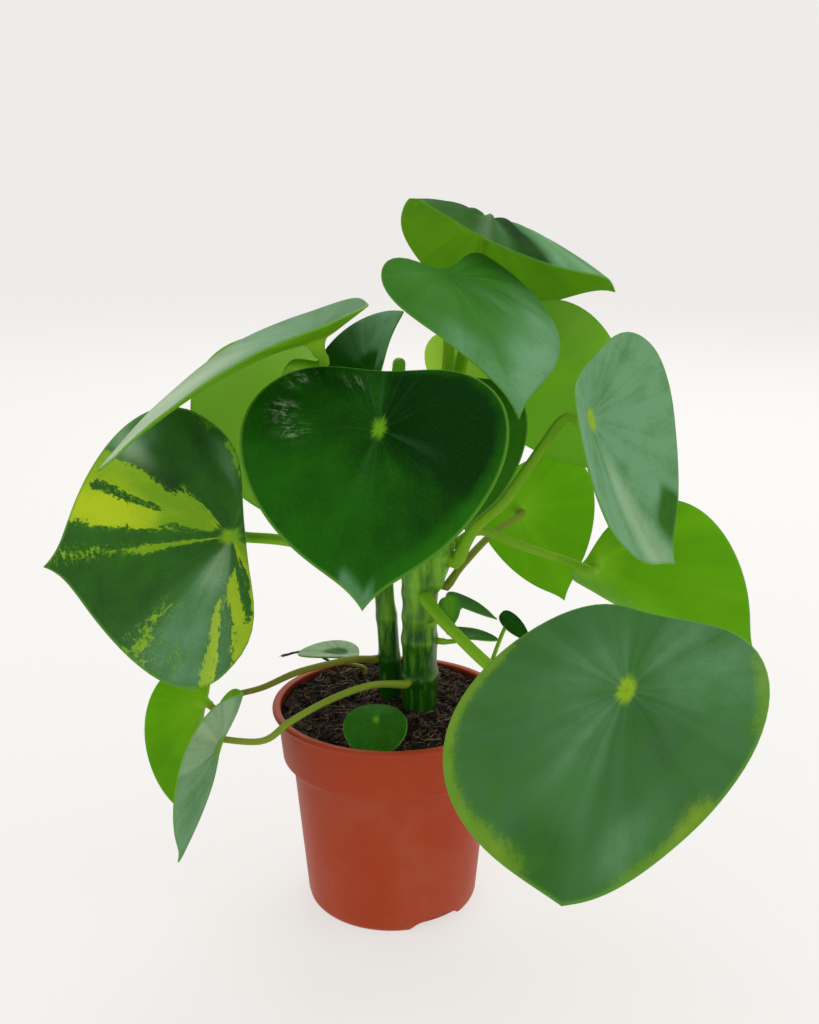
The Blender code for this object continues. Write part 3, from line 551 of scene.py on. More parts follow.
    Leaf("leaf_shoot_upper", (35, 0, 159), -8, -23, 15, 29, 10, "glaucous",
         funnel=1.0, funnel_radius=5.0, spot=-8.0,
         stem="stem_front", foot=(151, 5), stalk=((29, 1, 153),), stalk_radii=(1.3, 1.0),
         patches=(Patch("bloom", 0, 180, 0.0, 1.1, -0.68),)),
    Leaf("leaf_shoot_small", (28, -14, 162), -52, -64, 21, 15, 11, "bright",
         funnel=0.5, funnel_radius=3.0,
         stem="stem_front", foot=(151, -60), stalk=((24, -9, 155),), stalk_radii=(1.1, 0.9)),
    Leaf("leaf_shoot_lower", (35, -4, 144), -12, -4, 18, 27, 9, "glaucous", point=0.0,
         funnel=1.0, funnel_radius=5.0, spot=-8.0,
         stem="stem_front", foot=(139, -15), stalk=((29, -3, 139),), stalk_radii=(1.3, 1.0),
         patches=(Patch("bloom", 0, 180, 0.0, 1.1, -0.68),)),
    Leaf("leaf_shoot_right", (59, -2, 149), -6, -43, 59, 22, 9, "dark",
         funnel=1.0, funnel_radius=4.0, spot=-8.0,
         foot=(46, 14), stalk=((48, 13, 112), (55, 6, 138)), stalk_radii=(1.2, 1.0)),
]

DRY_STALK_POINTS = [(-29, 34, 93), (-29, 34, 106), (-31, 34, 111),
                    (-37, 33, 116), (-47, 31, 120), (-58, 30, 118)]


def length_property(name, description, default):
    return FloatProperty(name=name, description=description, default=default, unit="LENGTH",
                         subtype="DISTANCE", min=0.0, precision=4)


def colour_property(name, description, default):
    return FloatVectorProperty(name=name, description=description, default=default, subtype="COLOR",
                               size=3, min=0.0, max=1.0)


def share_property(name, description, default):
    return FloatProperty(name=name, description=description, default=default, subtype="FACTOR",
                         min=0.0, max=1.0)


class PotSettings(bpy.types.PropertyGroup):
    """Sizes and colours of the moulded pot"""

    rim_radius: length_property("Rim radius", "Half the width across the lip", 0.06)
    height: length_property("Height", "Height to the top of the lip", POT_HIGH.z - POT_LOW.z)
    lip_height: length_property("Lip height", "Height of the rolled lip", 0.0026)
    wall: length_property("Wall", "Thickness of the plastic", 0.0017)
    colour: colour_property("Plastic", "Colour of the clean plastic", (0.36, 0.044, 0.012))
    faded: colour_property("Faded", "Colour where the plastic is scuffed pale", (0.40, 0.105, 0.055))
    dust: colour_property("Dust", "Dust low on the pot", (0.42, 0.10, 0.05))
    speck: colour_property("Speck", "Dark specks in the plastic", (0.10, 0.018, 0.010))
    # soil smears, and painted shade on the inner wall above the soil, darkest under the lip
    earth_and_shade: colour_property("Earth", "Earth on the wall inside the lip", (0.035, 0.013, 0.009))
    roughness: share_property("Roughness", "Roughness of the plastic", 0.42)


class SoilSettings(bpy.types.PropertyGroup):
    """Sizes and colours of the peat"""

    crumb_size: length_property("Crumb size", "Radius of a large crumb", 0.0019)
    crumbs: IntProperty(name="Crumbs", description="How many crumbs lie on the soil", default=1500, min=0)
    fibres: IntProperty(name="Fibres", description="How many pale fibres lie on the soil", default=480, min=0)
    colour: colour_property("Peat", "Colour of moist peat", (0.0105, 0.0052, 0.0032))
    dry: colour_property("Dry peat", "Colour of dry crumbs", (0.115, 0.064, 0.043))
    fibre: colour_property("Fibre", "Colour of the pale fibres", (0.42, 0.28, 0.23))
    grit: colour_property("Grit", "Palest grains of the peat", (0.16, 0.10, 0.07))


class StemSettings(bpy.types.PropertyGroup):
    """Sizes and colours of the fleshy stems and the dried flower stalk"""

    ridge: length_property("Ridge", "Height of the lengthwise ridges", 0.00035)
    collar: share_property("Collar", "How far a stalk's collar stands out, as a share of its radius", 0.3)
    voxel: length_property("Detail", "Grid size that the stem and its collars are joined on", 0.00055)
    dark: colour_property("Old stem", "Colour low on the stem", (0.008, 0.078, 0.003))
    light: colour_property("Young stem", "Colour high on the stem and at its joints", (0.215, 0.490, 0.030))
    streak: colour_property("Streak", "Pale lengthwise streaks of the stem", (0.16, 0.36, 0.05))
    dry: colour_property("Dried stalk", "Colour of the dried flower stalk", (0.022, 0.012, 0.010))
    dry_light: colour_property("Dry fibres", "Paler strands of the dried stalk", (0.10, 0.055, 0.04))


class LeafSettings(bpy.types.PropertyGroup):
    """Sizes and colours of the leaves"""

    hub_thickness: length_property("Hub thickness", "Thickness of a blade at its stalk", 0.0018)
    margin_thickness: length_property("Margin thickness", "Thickness of a blade at its margin", 0.001)
    vein_depth: length_property("Vein depth", "How far the main veins are sunk", 0.0003)
    wave: length_property("Wave", "How far the blade waves towards its margin", 0.0005)
    dark: colour_property("Dark green", "Upper side of a dark leaf", (0.003, 0.031, 0.0015))
    deep: colour_property("Deep green", "Lit parts of a dark leaf", (0.017, 0.145, 0.003))
    green: colour_property("Mid green", "Upper side of a mid green leaf", (0.040, 0.190, 0.010))
    bloom: colour_property("Bloom", "Pale wax on the upper side", (0.165, 0.365, 0.188))
    # palest wax, and also the painted highlight where light glints on folds, tips, ridges and scuffs
    wax_and_highlight: colour_property("Silver", "Palest wax and scuffs", (0.520, 0.660, 0.430))
    under: colour_property("Underside", "Underside of a blade", (0.190, 0.480, 0.004))
    under_dark: colour_property("Dark underside", "Darker clouds of the underside", (0.095, 0.300, 0.003))
    lime: colour_property("Lime", "Variegated sectors", (0.190, 0.385, 0.014))
    yellow: colour_property("Yellow", "Palest places of the variegated sectors", (0.500, 0.640, 0.015))
    # also the painted light that shines through a pale underside
    pale_lime: colour_property("Pale lime", "Lime under bloom", (0.320, 0.520, 0.110))
    hub: colour_property("Hub", "Spot over the stalk", (0.170, 0.420, 0.015))
    bright_hub: colour_property("Bright hub", "Underside round the stalk", (0.300, 0.600, 0.020))
    # a clear margin, partly painted light where the translucent edge catches it
    margin: colour_property("Margin", "Thin clear margin", (0.130, 0.330, 0.035))
    stalk: colour_property("Stalk", "Leaf stalk", (0.225, 0.470, 0.018))
    olive: colour_property("Old stalk", "Low, old leaf stalk", (0.220, 0.190, 0.030))
    glow: colour_property("Glow", "Light that comes through a blade", (0.400, 0.800, 0.020))
    pale_glow: colour_property("Pale glow", "Light that comes through a pale blade", (0.800, 1.000, 0.300))


class StageSettings(bpy.types.PropertyGroup):
    """The pale stage, its lights and the camera"""

    floor_radius: length_property("Floor radius", "How far the floor reaches before it turns up", 3.0)
    floor: colour_property("Floor", "Colour of the floor and its wall", (0.26, 0.255, 0.25))
    glow: colour_property("Glow", "Light that the paper itself gives", (0.64, 0.625, 0.61))
    back_light: FloatProperty(name="Back light", description="Power of the light above and behind",
                              default=16.0, min=0.0, unit="POWER")
    front_light: FloatProperty(name="Front light", description="Power of the light in front",
                               default=4.0, min=0.0, unit="POWER")
    side_light: FloatProperty(name="Side light", description="Power of the light from the right",
                              default=4.0, min=0.0, unit="POWER")
    sky: FloatProperty(name="Sky", description="Strength of the light from all round", default=0.8, min=0.0)
    focal_length: FloatProperty(name="Focal length", description="Focal length of the camera",
                                default=45.7, min=1.0, unit="CAMERA")


class PeperomiaSettings(bpy.types.PropertyGroup):
    """Everything about the plant that a user may change"""

    pot: PointerProperty(type=PotSettings)
    soil: PointerProperty(type=SoilSettings)
    stems: PointerProperty(type=StemSettings)
    leaves: PointerProperty(type=LeafSettings)
    stage: PointerProperty(type=StageSettings)


class Value:
    """A number that a material works out; arithmetic on it adds Math nodes."""

    def __init__(self, material, socket):
        self.material = material
        self.socket = socket

    def maths(self, operation, *values):
        return self.material.node("ShaderNodeMath", {"operation": operation}, dict(enumerate(values)))

    def __add__(self, other):
        return self.maths("ADD", self, other)

    def __radd__(self, other):
        return self.maths("ADD", other, self)

    def __sub__(self, other):
        return self.maths("SUBTRACT", self, other)

    def __rsub__(self, other):
        return self.maths("SUBTRACT", other, self)

    def __mul__(self, other):
        return self.maths("MULTIPLY", self, other)

    def __rmul__(self, other):
        return self.maths("MULTIPLY", other, self)

    def swing(self, amount):
        """A noise's rise and fall about its middle, times an amount."""
        return (self - 0.5) * amount

    def clipped(self):
        """The number held between 0 and 1."""
        return self.material.node("ShaderNodeClamp", {}, {"Value": self})

    def step(self, low, high):
        """0 below low, 1 above high and a smooth rise between; a high below low turns it round."""
        return self.material.node("ShaderNodeMapRange", {"interpolation_type": "SMOOTHSTEP"},
                                  {"Value": self, "From Min": low, "From Max": high})


class Finish:
    """A material made of nodes."""

    def __init__(self, name):
        self.data = bpy.data.materials.new(name)
        self.data.use_nodes = True
        self.data.node_tree.nodes.clear()

    def node(self, kind, settings, inputs, output=0):
        """A node with its settings and then its sockets set, and the output that is wanted from it."""
        made = self.data.node_tree.nodes.new(kind)
        for key, value in settings.items():
            setattr(made, key, value)
        for key, value in inputs.items():
            if isinstance(value, Value):
                self.data.node_tree.links.new(value.socket, made.inputs[key])
            else:
                made.inputs[key].default_value = value
        return Value(self, made.outputs[output])

    def attribute(self, name):
        return self.node("ShaderNodeAttribute", {"attribute_name": name}, {}, "Vector")

    def split(self, vector):
        """The three numbers of a vector."""
        return [self.node("ShaderNodeSeparateXYZ", {}, {"Vector": vector}, axis) for axis in "XYZ"]

    def join(self, x, y, z):
        return self.node("ShaderNodeCombineXYZ", {}, {"X": x, "Y": y, "Z": z})

    def place(self):
        """Where the surface is, in metres."""
        return self.node("ShaderNodeTexCoord", {}, {}, "Object")

    def stretched(self, vector, scale):
        return self.node("ShaderNodeVectorMath", {"operation": "MULTIPLY"}, {0: vector, 1: scale})

    def length(self, vector):
        return self.node("ShaderNodeVectorMath", {"operation": "LENGTH"}, {0: vector}, "Value")

    def noise(self, vector, scale, detail=2.0, roughness=0.5):
        return self.node("ShaderNodeTexNoise", {}, {
            "Vector": vector, "Scale": scale, "Detail": detail, "Roughness": roughness})

    def mix(self, share, first, second):
        """The first colour where the share is 0, and the second where it is 1."""
        inputs = {0: share, 6: opaque(first), 7: opaque(second)}
        return self.node("ShaderNodeMix", {"data_type": "RGBA"}, inputs, 2)

    def surface(self, colour, roughness, height, distance, specular, others=()):
        """A plastic-like surface with a relief that stands a distance in metres high."""
        normal = self.node("ShaderNodeBump", {}, {"Height": height, "Distance": distance})
        inputs = {"Base Color": colour, "Roughness": roughness, "Normal": normal,
                  "Specular IOR Level": specular, **dict(others)}
        return self.node("ShaderNodeBsdfPrincipled", {}, inputs)

    def done(self, shader):
        """The material with this shader on its surface."""
        made = self.data.node_tree.nodes.new("ShaderNodeOutputMaterial")
        self.data.node_tree.links.new(shader.socket, made.inputs["Surface"])
        return self.data


def opaque(colour):
    """A colour with its alpha, or a value as it is."""
    return colour if isinstance(colour, Value) else (*colour, 1.0)


def mesh_piece(name, points, faces, fields, finish, replaced):
    """A smooth piece in metres from millimetre points, with its point fields, that stands for a CAD node."""
    mesh = bpy.data.meshes.new(name)
    inside = np.clip(np.asarray(points) * MM, CAD_BOX[0], CAD_BOX[1])
    mesh.from_pydata(inside.tolist(), [], faces)
    for field, values in fields.items():
        attribute = mesh.attributes.new(field, "FLOAT_VECTOR", "POINT")
        attribute.data.foreach_set("vector", np.asarray(values, np.float32).ravel())
    mesh.shade_smooth()
    mesh.materials.append(finish)
    obj = bpy.data.objects.new(name, mesh)
    bpy.context.scene.collection.objects.link(obj)
    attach(obj, BODY)
    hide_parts(replaced)
    return obj


def ring_mesh(rings, start, end):
    """Points and faces of a closed surface from a start point through equal rings to an end point."""
    sides = len(rings[0])
    points = np.vstack([np.asarray(start)[None], *rings, np.asarray(end)[None]])
    first = 1 + sides * np.arange(len(rings) - 1)[:, None]
    i = np.arange(sides)
    j = (i + 1) % sides
    quads = np.stack([first + i, first + j, first + sides + j, first + sides + i], axis=-1).reshape(-1, 4)
    last = 1 + sides * (len(rings) - 1)
    fans = [(0, 1 + b, 1 + a) for a, b in zip(i, j)]
    caps = [(last + a, last + b, len(points) - 1) for a, b in zip(i, j)]
    faces = fans + quads.tolist() + caps
    return points, [tuple(int(v) for v in face) for face in faces]


def smooth_path(points, spacing):
    """Points at about one spacing along a Catmull-Rom curve, and their shares of its length."""
    given = [Vector(p) for p in points]
    ends = [2 * given[0] - given[1], *given, 2 * given[-1] - given[-2]]
    fine = []
    for a, b, c, d in zip(ends, ends[1:], ends[2:], ends[3:]):
        for step in range(16):
            t = step / 16
            fine.append(0.5 * (2 * b + (c - a) * t + (2 * a - 5 * b + 4 * c - d) * t * t
                               + (3 * b - a - 3 * c + d) * t ** 3))
    fine.append(given[-1])
    run = np.array([0.0, *np.cumsum([(q - p).length for p, q in zip(fine, fine[1:])])])
    count = max(3, round(run[-1] / spacing))
    wanted = np.linspace(0, run[-1], count + 1)
    table = np.array(fine)
    return np.stack([np.interp(wanted, run, table[:, i]) for i in range(3)], axis=1), wanted / run[-1]


def swept_rings(path, radii, side, other, directions, shape=None):
    """Rings round a path that keep their turn. A direction's two numbers go along side and other."""
    rings = []
    tangents = np.gradient(path, axis=0)
    tangents = tangents / np.linalg.norm(tangents, axis=1, keepdims=True)
    side, other = np.array(side, float), np.array(other, float)
    for step, (point, tangent, radius) in enumerate(zip(path, tangents, radii)):
        side = side - tangent * (side @ tangent)
        side = side / np.linalg.norm(side)
        other = other - tangent * (other @ tangent) - side * (other @ side)
        other = other / np.linalg.norm(other)
        spread = radius if shape is None else radius * shape[step][:, None]
        rings.append(point + spread * (directions[:, :1] * side + directions[:, 1:] * other))
    return rings


def tube(path, radii, side, other, directions, shape=None):
    """Points and faces of a closed tube round a path."""
    return ring_mesh(swept_rings(path, radii, side, other, directions, shape), path[0], path[-1])


class Heap:
    """Closed meshes put together as one piece."""

    def __init__(self):
        self.points = []
        self.faces = []
        self.count = 0

    def add(self, points, faces):
        self.faces += [tuple(int(v) + self.count for v in face) for face in faces]
        self.points.append(points)
        self.count += len(points)


def stem_path(stem, spacing):
    """The stem's points and their radii, with a swelling at each joint."""
    path, shares = smooth_path(stem.points, spacing)
    places = np.linspace(0, 1, len(stem.radii))
    radii = np.interp(shares, places, stem.radii)
    for joint in stem.joints:
        radii = radii * (1 + stem.swelling * np.exp(-((path[:, 2] - joint) / JOINT_SPREAD) ** 2))
    return path, radii


def socket(stem, height, direction):
    """The point just clear of the stem's side at a height and direction, and the way out from there."""
    path, radii = stem_path(stem, STEM_SPACING)
    axis = Vector([np.interp(height, path[:, 2], path[:, i]) for i in range(3)])
    radius = float(np.interp(height, path[:, 2], radii))
    below = Vector([np.interp(height - 3, path[:, 2], path[:, i]) for i in range(3)])
    lean = (axis - below).normalized()
    outward = Vector((math.cos(math.radians(direction)), math.sin(math.radians(direction)), 0.0))
    outward = (outward - lean * outward.dot(lean)).normalized()
    return axis + outward * (radius + GAP), outward


def outline(leaf, angles):
    """The margin in the flat blade. Angle 0 is the tip, and the hub is at 0, 0."""
    right = np.sin(angles) >= 0
    egg = np.where(right, leaf.egg_right, leaf.egg_left)
    wide = np.where(right, leaf.wide_right, leaf.wide_left)
    body = leaf.length * (1 - leaf.point)
    x = 0.5 * leaf.width * wide * np.sin(angles) * (1 - egg * np.cos(angles)) / (1 + 0.5 * egg ** 2)
    off_tip = np.abs(angles)
    y = 0.5 * body * (1 + np.cos(angles)) - leaf.hub_at * leaf.length
    y = y + leaf.length * leaf.point * np.exp(-off_tip / TIP_WIDTH)
    y = y + leaf.length * leaf.notch * np.exp(-((math.pi - off_tip) / NOTCH_WIDTH) ** 2)
    return x, y


def bend(leaf, x, y):
    """Flat blade coordinates to the bent blade: sideways, towards the tip, and up from the upper side."""
    half = 0.5 * leaf.width
    along = y[..., None] * STRIPS
    slope = np.radians(np.where(along < 0, leaf.base_arch, leaf.arch) * along / leaf.length)
    forward = y * np.cos(slope).mean(axis=-1)
    height = -y * np.sin(slope).mean(axis=-1)
    out = np.abs(x)[..., None] * STRIPS / half
    fold = np.where(x >= 0, leaf.fold_right, leaf.fold_left)[..., None]
    curl = np.where(x >= 0, leaf.curl_right, leaf.curl_left)[..., None]
    tilt = np.radians(fold * np.tanh(out / CREASE) + curl * out)
    sideways = x * np.cos(tilt).mean(axis=-1)
    lift = np.abs(x) * np.sin(tilt).mean(axis=-1)
    lift = lift - leaf.funnel * np.exp(-(x * x + y * y) / leaf.funnel_radius ** 2)
    turn = np.radians(leaf.twist * y / leaf.length)
    across = sideways * np.cos(turn) - lift * np.sin(turn)
    lift = sideways * np.sin(turn) + lift * np.cos(turn)
    lean = np.radians(np.where(y < 0, leaf.base_arch, leaf.arch) * y / leaf.length)
    return np.stack([across, forward + lift * np.sin(lean), height + lift * np.cos(lean)], axis=-1)


def blade_axes(leaf):
    """Right of the midrib, towards the tip, and up from the upper side, as rows."""
    heading, pitch, roll = (math.radians(v) for v in (leaf.heading, leaf.pitch, leaf.roll))
    compass = np.array([math.cos(heading), math.sin(heading), 0.0])
    upright = np.array([0.0, 0.0, 1.0])
    tip = compass * math.cos(pitch) + upright * math.sin(pitch)
    level = upright * math.cos(pitch) - compass * math.sin(pitch)
    side = np.cross(tip, level)
    return np.stack([side * math.cos(roll) - level * math.sin(roll), tip,
                     level * math.cos(roll) + side * math.sin(roll)])


def blade_points(leaf, x, y):
    """Points in the middle of the blade, and the way up from its upper side at each."""
    axes = blade_axes(leaf)
    tiny = 0.05
    middle = bend(leaf, x, y)
    across = bend(leaf, x + tiny, y) - bend(leaf, x - tiny, y)
    forward = bend(leaf, x, y + tiny) - bend(leaf, x, y - tiny)
    up = np.cross(across, forward)
    up = up / np.linalg.norm(up, axis=-1, keepdims=True)
    return np.array(leaf.hub) + middle @ axes, up @ axes


def from_angle(angle, other):
    """The turn in degrees from another angle to this one, the shorter way round."""
    return (angle - other + 180) % 360 - 180


def relief(leaf, x, y, share, settings):
    """How far the veins and pleats move the blade's surface up, and how far the whole blade waves."""
    radius = np.hypot(x, y)
    angle = np.degrees(np.arctan2(x, y))
    veins = np.zeros_like(radius)
    for vein in VEINS:
        turned = vein - np.sign(vein) * VEIN_TURN * radius
        off = np.radians(from_angle(angle, turned)) * radius
        veins = np.maximum(veins, np.exp(-(off / (VEIN_WIDTH + VEIN_WIDENING * radius)) ** 2))
    fade = (1 - share) * (1 - np.exp(-radius / VEIN_START))
    sunk = -settings.vein_depth / MM * veins * fade
    beside = np.exp(-(from_angle(angle, leaf.pleat_angle) / PLEAT_SPREAD) ** 2)
    around = np.exp(-((radius - PLEAT_RADIUS) / PLEAT_REACH) ** 2)
    pleats = leaf.pleats * beside * around * np.sin(np.radians(angle) * PLEAT_WAVES)
    spots = [Vector((a / WAVE_LENGTH, b / WAVE_LENGTH, leaf.length)) for a, b in zip(x.ravel(), y.ravel())]
    wave = np.array([noise.noise(spot) for spot in spots]).reshape(x.shape)
    return sunk, pleats + settings.wave / MM * wave * np.minimum(radius / WAVE_START, 1)


def tint(leaf, angle, share, kind):
    """The sum of the blade's patches of one kind."""
    total = np.zeros_like(angle)
    for patch in leaf.patches:
        if patch.kind == kind:
            off = np.abs(from_angle(angle, patch.angle))
            beside = 0.5 - 0.5 * np.tanh((off - patch.spread) / patch.softness)
            inside = 0.5 + 0.5 * np.tanh((share - patch.inner) / patch.blur)
            outside = 0.5 + 0.5 * np.tanh((patch.outer - share) / patch.blur)
            total = total + patch.amount * beside * inside * outside
    return total


def stalk_line(leaf, stems):
    """The stalk's middle line from its foot up to the hub, as in the part's source, and its way out."""
    centre, up = blade_points(leaf, np.zeros(1), np.zeros(1))
    end = Vector(centre[0])
    below = end - Vector(up[0]) * min(HUB_STRETCH, HUB_STRETCH_SHARE * leaf.length)
    if leaf.stem is None:
        x, y = leaf.foot
        outward = Vector((0, 0, 1))
        foot = Vector((x, y, SOIL_TOP - ROOT_DEPTH + GAP))
        first = Vector((x, y, SOIL_TOP + FOOT_STRETCH))
    else:
        foot, outward = socket(stems[leaf.stem], *leaf.foot)
        first = foot + outward * FOOT_STRETCH
        foot = foot - outward * STALK_SINK
    path, shares = smooth_path([first, *[Vector(p) for p in leaf.stalk], below, end], STALK_SPACING)
    return np.vstack([foot, path]), np.append(0.0, shares)


def leaf_mesh(leaf, stems, settings):
    """Blade and stalk as one closed skin: hub, upper side, margin, underside, fillet, stalk and foot."""
    small = leaf.length < SMALL_LENGTH
    spokes = SMALL_SPOKES if small else SPOKES
    count = SMALL_BLADE_RINGS if small else BLADE_RINGS
    turns = 2 * math.pi * np.arange(spokes) / spokes - math.pi
    angles = turns - TIP_CROWDING * np.sin(turns)
    margin = np.stack(outline(leaf, angles), axis=1)
    reach = np.linalg.norm(margin, axis=1)
    direction = margin / reach[:, None]
    hub_half = settings.hub_thickness / MM / 2
    margin_half = settings.margin_thickness / MM / 2
    edge = np.minimum(margin_half, 0.15 * reach)
    thick, thin = leaf.stalk_radii
    top = STALK_FLARE * thin
    flare = np.minimum(FLARE_REACH * top, FLARE_LIMIT * (reach - edge))
    centre, up = blade_points(leaf, np.zeros(1), np.zeros(1))
    rings, flat, sides = [], [], []

    def add(radius, half, side, stalk, run, sink=0.0):
        """A ring round the hub, half a thickness off the blade's middle on one side."""
        x, y = (direction * radius[:, None]).T
        share = radius / reach
        points, normals = blade_points(leaf, x, y)
        sunk, wave = relief(leaf, x, y, share, settings)
        lift = side * half + wave + sunk * (1 if side > 0 else 0.9)
        rings.append(points + normals * lift[:, None] - up[0] * sink)
        flat.append(np.stack([x, y, share], axis=1))
        upper = 0.5 + 0.5 * side if half > 0 else 0.5
        sides.append(np.tile((upper, stalk, run), (spokes, 1)))

    def add_margin(turn, side):
        bow = math.radians(90 * turn)
        add(reach - edge * (1 - math.sin(bow)), margin_half * math.cos(bow), side, 0, 0)

    steps = np.arange(1, count + 1) / count
    for step in steps:
        add((reach - edge) * step, hub_half + (margin_half - hub_half) * step, 1, 0, 0)
    for turn in MARGIN_TURNS:
        add_margin(turn, 1)
    add(reach, 0.0, 1, 0, 0)
    for turn in reversed(MARGIN_TURNS):
        add_margin(turn, -1)
    for step in steps[::-1]:
        add(flare + (reach - edge - flare) * step, hub_half + (margin_half - hub_half) * step, -1, 0, 0)
    depth = FILLET_DEPTH * top
    for turn in FILLET_TURNS:
        bow = math.radians(90 * turn)
        radius = top + (flare - top) * (1 - math.sin(bow))
        add(radius, hub_half, -1, turn, depth * turn, depth * (1 - math.cos(bow)))
    path, shares = stalk_line(leaf, stems)
    path, shares = path[::-1], shares[::-1]
    run = np.append(0.0, np.cumsum(np.linalg.norm(np.diff(path, axis=0), axis=1)))
    kept = run > depth + hub_half + STALK_SPACING / 2
    path, shares, run = path[kept], shares[kept], run[kept]
    radii = np.interp(shares, STALK_SHARES, (STALK_FLARE * thick, thick, thin, top))
    turned = np.degrees(np.arctan2(direction[:, 0], direction[:, 1]))
    groove = 1 - STALK_GROOVE * np.exp(-(from_angle(turned, 0) / GROOVE_SPREAD) ** 2)
    shape = [groove + STALK_UNEVEN * math.sin(step / 2.7) for step in range(len(path))]
    start_axes = blade_axes(leaf)
    stalk_rings = swept_rings(path, radii, start_axes[0], start_axes[1], direction, shape)
    for ring, distance in zip(stalk_rings, run):
        rings.append(ring)
        flat.append(np.column_stack([direction * top, np.zeros(spokes)]))
        sides.append(np.tile((0.0, 1.0, distance), (spokes, 1)))
    hub_top = centre[0] + up[0] * hub_half
    points, faces = ring_mesh(rings, hub_top, path[-1])
    flat = np.vstack([(0, 0, 0), *flat, (0, 0, 0)])
    sides = np.vstack([(1, 0, 0), *sides, (0, 1, run[-1])])
    angle = np.degrees(np.arctan2(flat[:, 0], flat[:, 1]))
    fields = {"blade": flat, "side": sides}
    for field, kinds in FIELDS.items():
        fields[field] = np.stack([tint(leaf, angle, flat[:, 2], kind) for kind in kinds], axis=1)
    return points, faces, fields


def leaf_finish(name, leaf, settings):
    """Fleshy leaf: mottled green above, bloom with painted highlights, lime streaks, hub spot and a clear
    margin painted paler where light catches it; bright below.
    """
    look = LOOKS[leaf.look]
    finish = Finish(name)
    x, y, share = finish.split(finish.attribute("blade"))
    upper, stalk, run = finish.split(finish.attribute("side"))
    lime, bloom, dark = finish.split(finish.attribute("tint"))
    worn_highlight, yellow, wax_and_highlight = finish.split(finish.attribute("marks"))
    place = finish.place()
    flat = finish.join(x, y, 0.0)
    radius = finish.length(flat)
    ray_x, ray_y, _ = finish.split(finish.node("ShaderNodeVectorMath", {"operation": "NORMALIZE"}, {0: flat}))
    offset = leaf.length * 0.37

    def radial(across, outwards, detail, roughness=0.6):
        """Noise drawn out from the hub; larger numbers make it finer across and along the rays."""
        spot = finish.join(ray_x * across, ray_y * across, radius * outwards + offset)
        return finish.noise(spot, 1.0, detail, roughness)

    broad = radial(2.2, 0.02, 2.0)
    rays = radial(4.2, 0.006, 2.0)
    lines = radial(15.0, 0.02, 2.0)
    streaks = radial(6.0, 0.05, 5.0, 0.7)
    flecks = radial(26.0, 0.35, 4.0, 0.75)
    mottle = finish.noise(place, MOTTLE, 4.0, 0.6)
    stipple = finish.noise(place, STIPPLE, 3.0, 0.7)
    grain = finish.noise(place, SKIN_GRAIN, 2.0, 0.6)

    # upper side: green, pale rays and scratches, wax, painted highlights, lime sectors, scuffed places with
    # painted highlights, hub and a margin painted paler where light catches it
    depth = (look.dark + dark + mottle.swing(0.7) + broad.swing(0.6) + stipple.swing(1.2)).clipped()
    above = finish.mix(depth, settings.deep if look.dark > DEEP_FROM else settings.green, settings.dark)
    scratches = lines.step(0.6, 0.72) * flecks.step(0.4, 0.6)
    pale_rays = (scratches * 0.9 + rays.step(0.5, 0.75)) * radius.step(*RAY_FADE) * look.rays
    above = finish.mix(pale_rays, above, settings.bloom)
    wax = (look.bloom + bloom) * (1 + mottle.swing(1.6) + rays.swing(1.4) + stipple.swing(0.9))
    wax = (wax + stipple.swing(0.2)).clipped()
    above = finish.mix(wax, above, settings.bloom)
    # palest patches: pale wax with painted highlights, as where light glints on folds, ridges and tips
    palest = (wax_and_highlight * (0.8 + stipple.swing(1.0) + (rays - 0.5))).clipped()
    above = finish.mix(palest, above, settings.wax_and_highlight)
    if look.lime:
        pattern = lime + streaks.swing(look.streaks) + flecks.swing(look.flecks)
        speckled = (pattern + stipple.swing(1.6) + flecks.swing(1.4)).step(0.36, 0.56) * lime.step(0.05, 0.3)
        above = finish.mix(speckled * look.lime * 0.45, above, settings.lime)
        limed = pattern.step(0.5 - look.lime_edge, 0.5 + look.lime_edge) * look.lime
        brighter = (yellow + streaks.swing(0.9) + mottle.swing(0.5) + stipple.swing(0.6)).clipped()
        lime_colour = finish.mix(brighter, settings.lime, settings.yellow)
        lime_colour = finish.mix((bloom * 0.75).clipped(), lime_colour, settings.pale_lime)
        above = finish.mix(limed, above, lime_colour)
    scored = 0.0
    # painted highlight: scuffed scratches painted pale, as where light glints on them; they are also smoother
    # and raised
    if any(patch.kind == "worn_highlight" for patch in leaf.patches):
        scored = (worn_highlight * (flecks * 0.6 + lines * 0.4).step(0.48, 0.62)).clipped()
        above = finish.mix(scored * 0.6, above, settings.wax_and_highlight)
    oval = finish.length(finish.join(x * HUB_OVAL[0], y * HUB_OVAL[1], 0.0))
    uneven = broad.swing(4.0) + streaks.swing(5.0) + flecks.swing(2.0)
    spot = (uneven + leaf.spot - oval).step(*HUB_EDGE)
    spot_colour = finish.mix((yellow * (0.2 + flecks * 1.2)).clipped(), settings.hub, settings.yellow)
    above = finish.mix(spot * 0.9, above, spot_colour)
    # painted light: a thin band along the margin, painted paler where light catches the translucent edge
    rim = share.step(*MARGIN_BAND)
    above = finish.mix(rim * look.rim, above, settings.margin)

    # underside
    shade = (0.3 + mottle.swing(0.7) + rays.swing(1.5) + stipple.swing(0.35) + dark * 0.8).clipped()
    below = finish.mix(shade, settings.under, settings.under_dark)
    # painted light: the underside is painted pale lime as far as pale_below says, where light would shine
    # through it
    pale = (leaf.pale_below + mottle.swing(leaf.pale_below)).clipped()
    below = finish.mix(pale, below, settings.pale_lime)
    below = finish.mix(radius.step(*HUB_GLOW) * 0.75, below, settings.bright_hub)
    below = finish.mix(rim * 0.5, below, settings.margin)
    skin = finish.mix(upper, below, above)

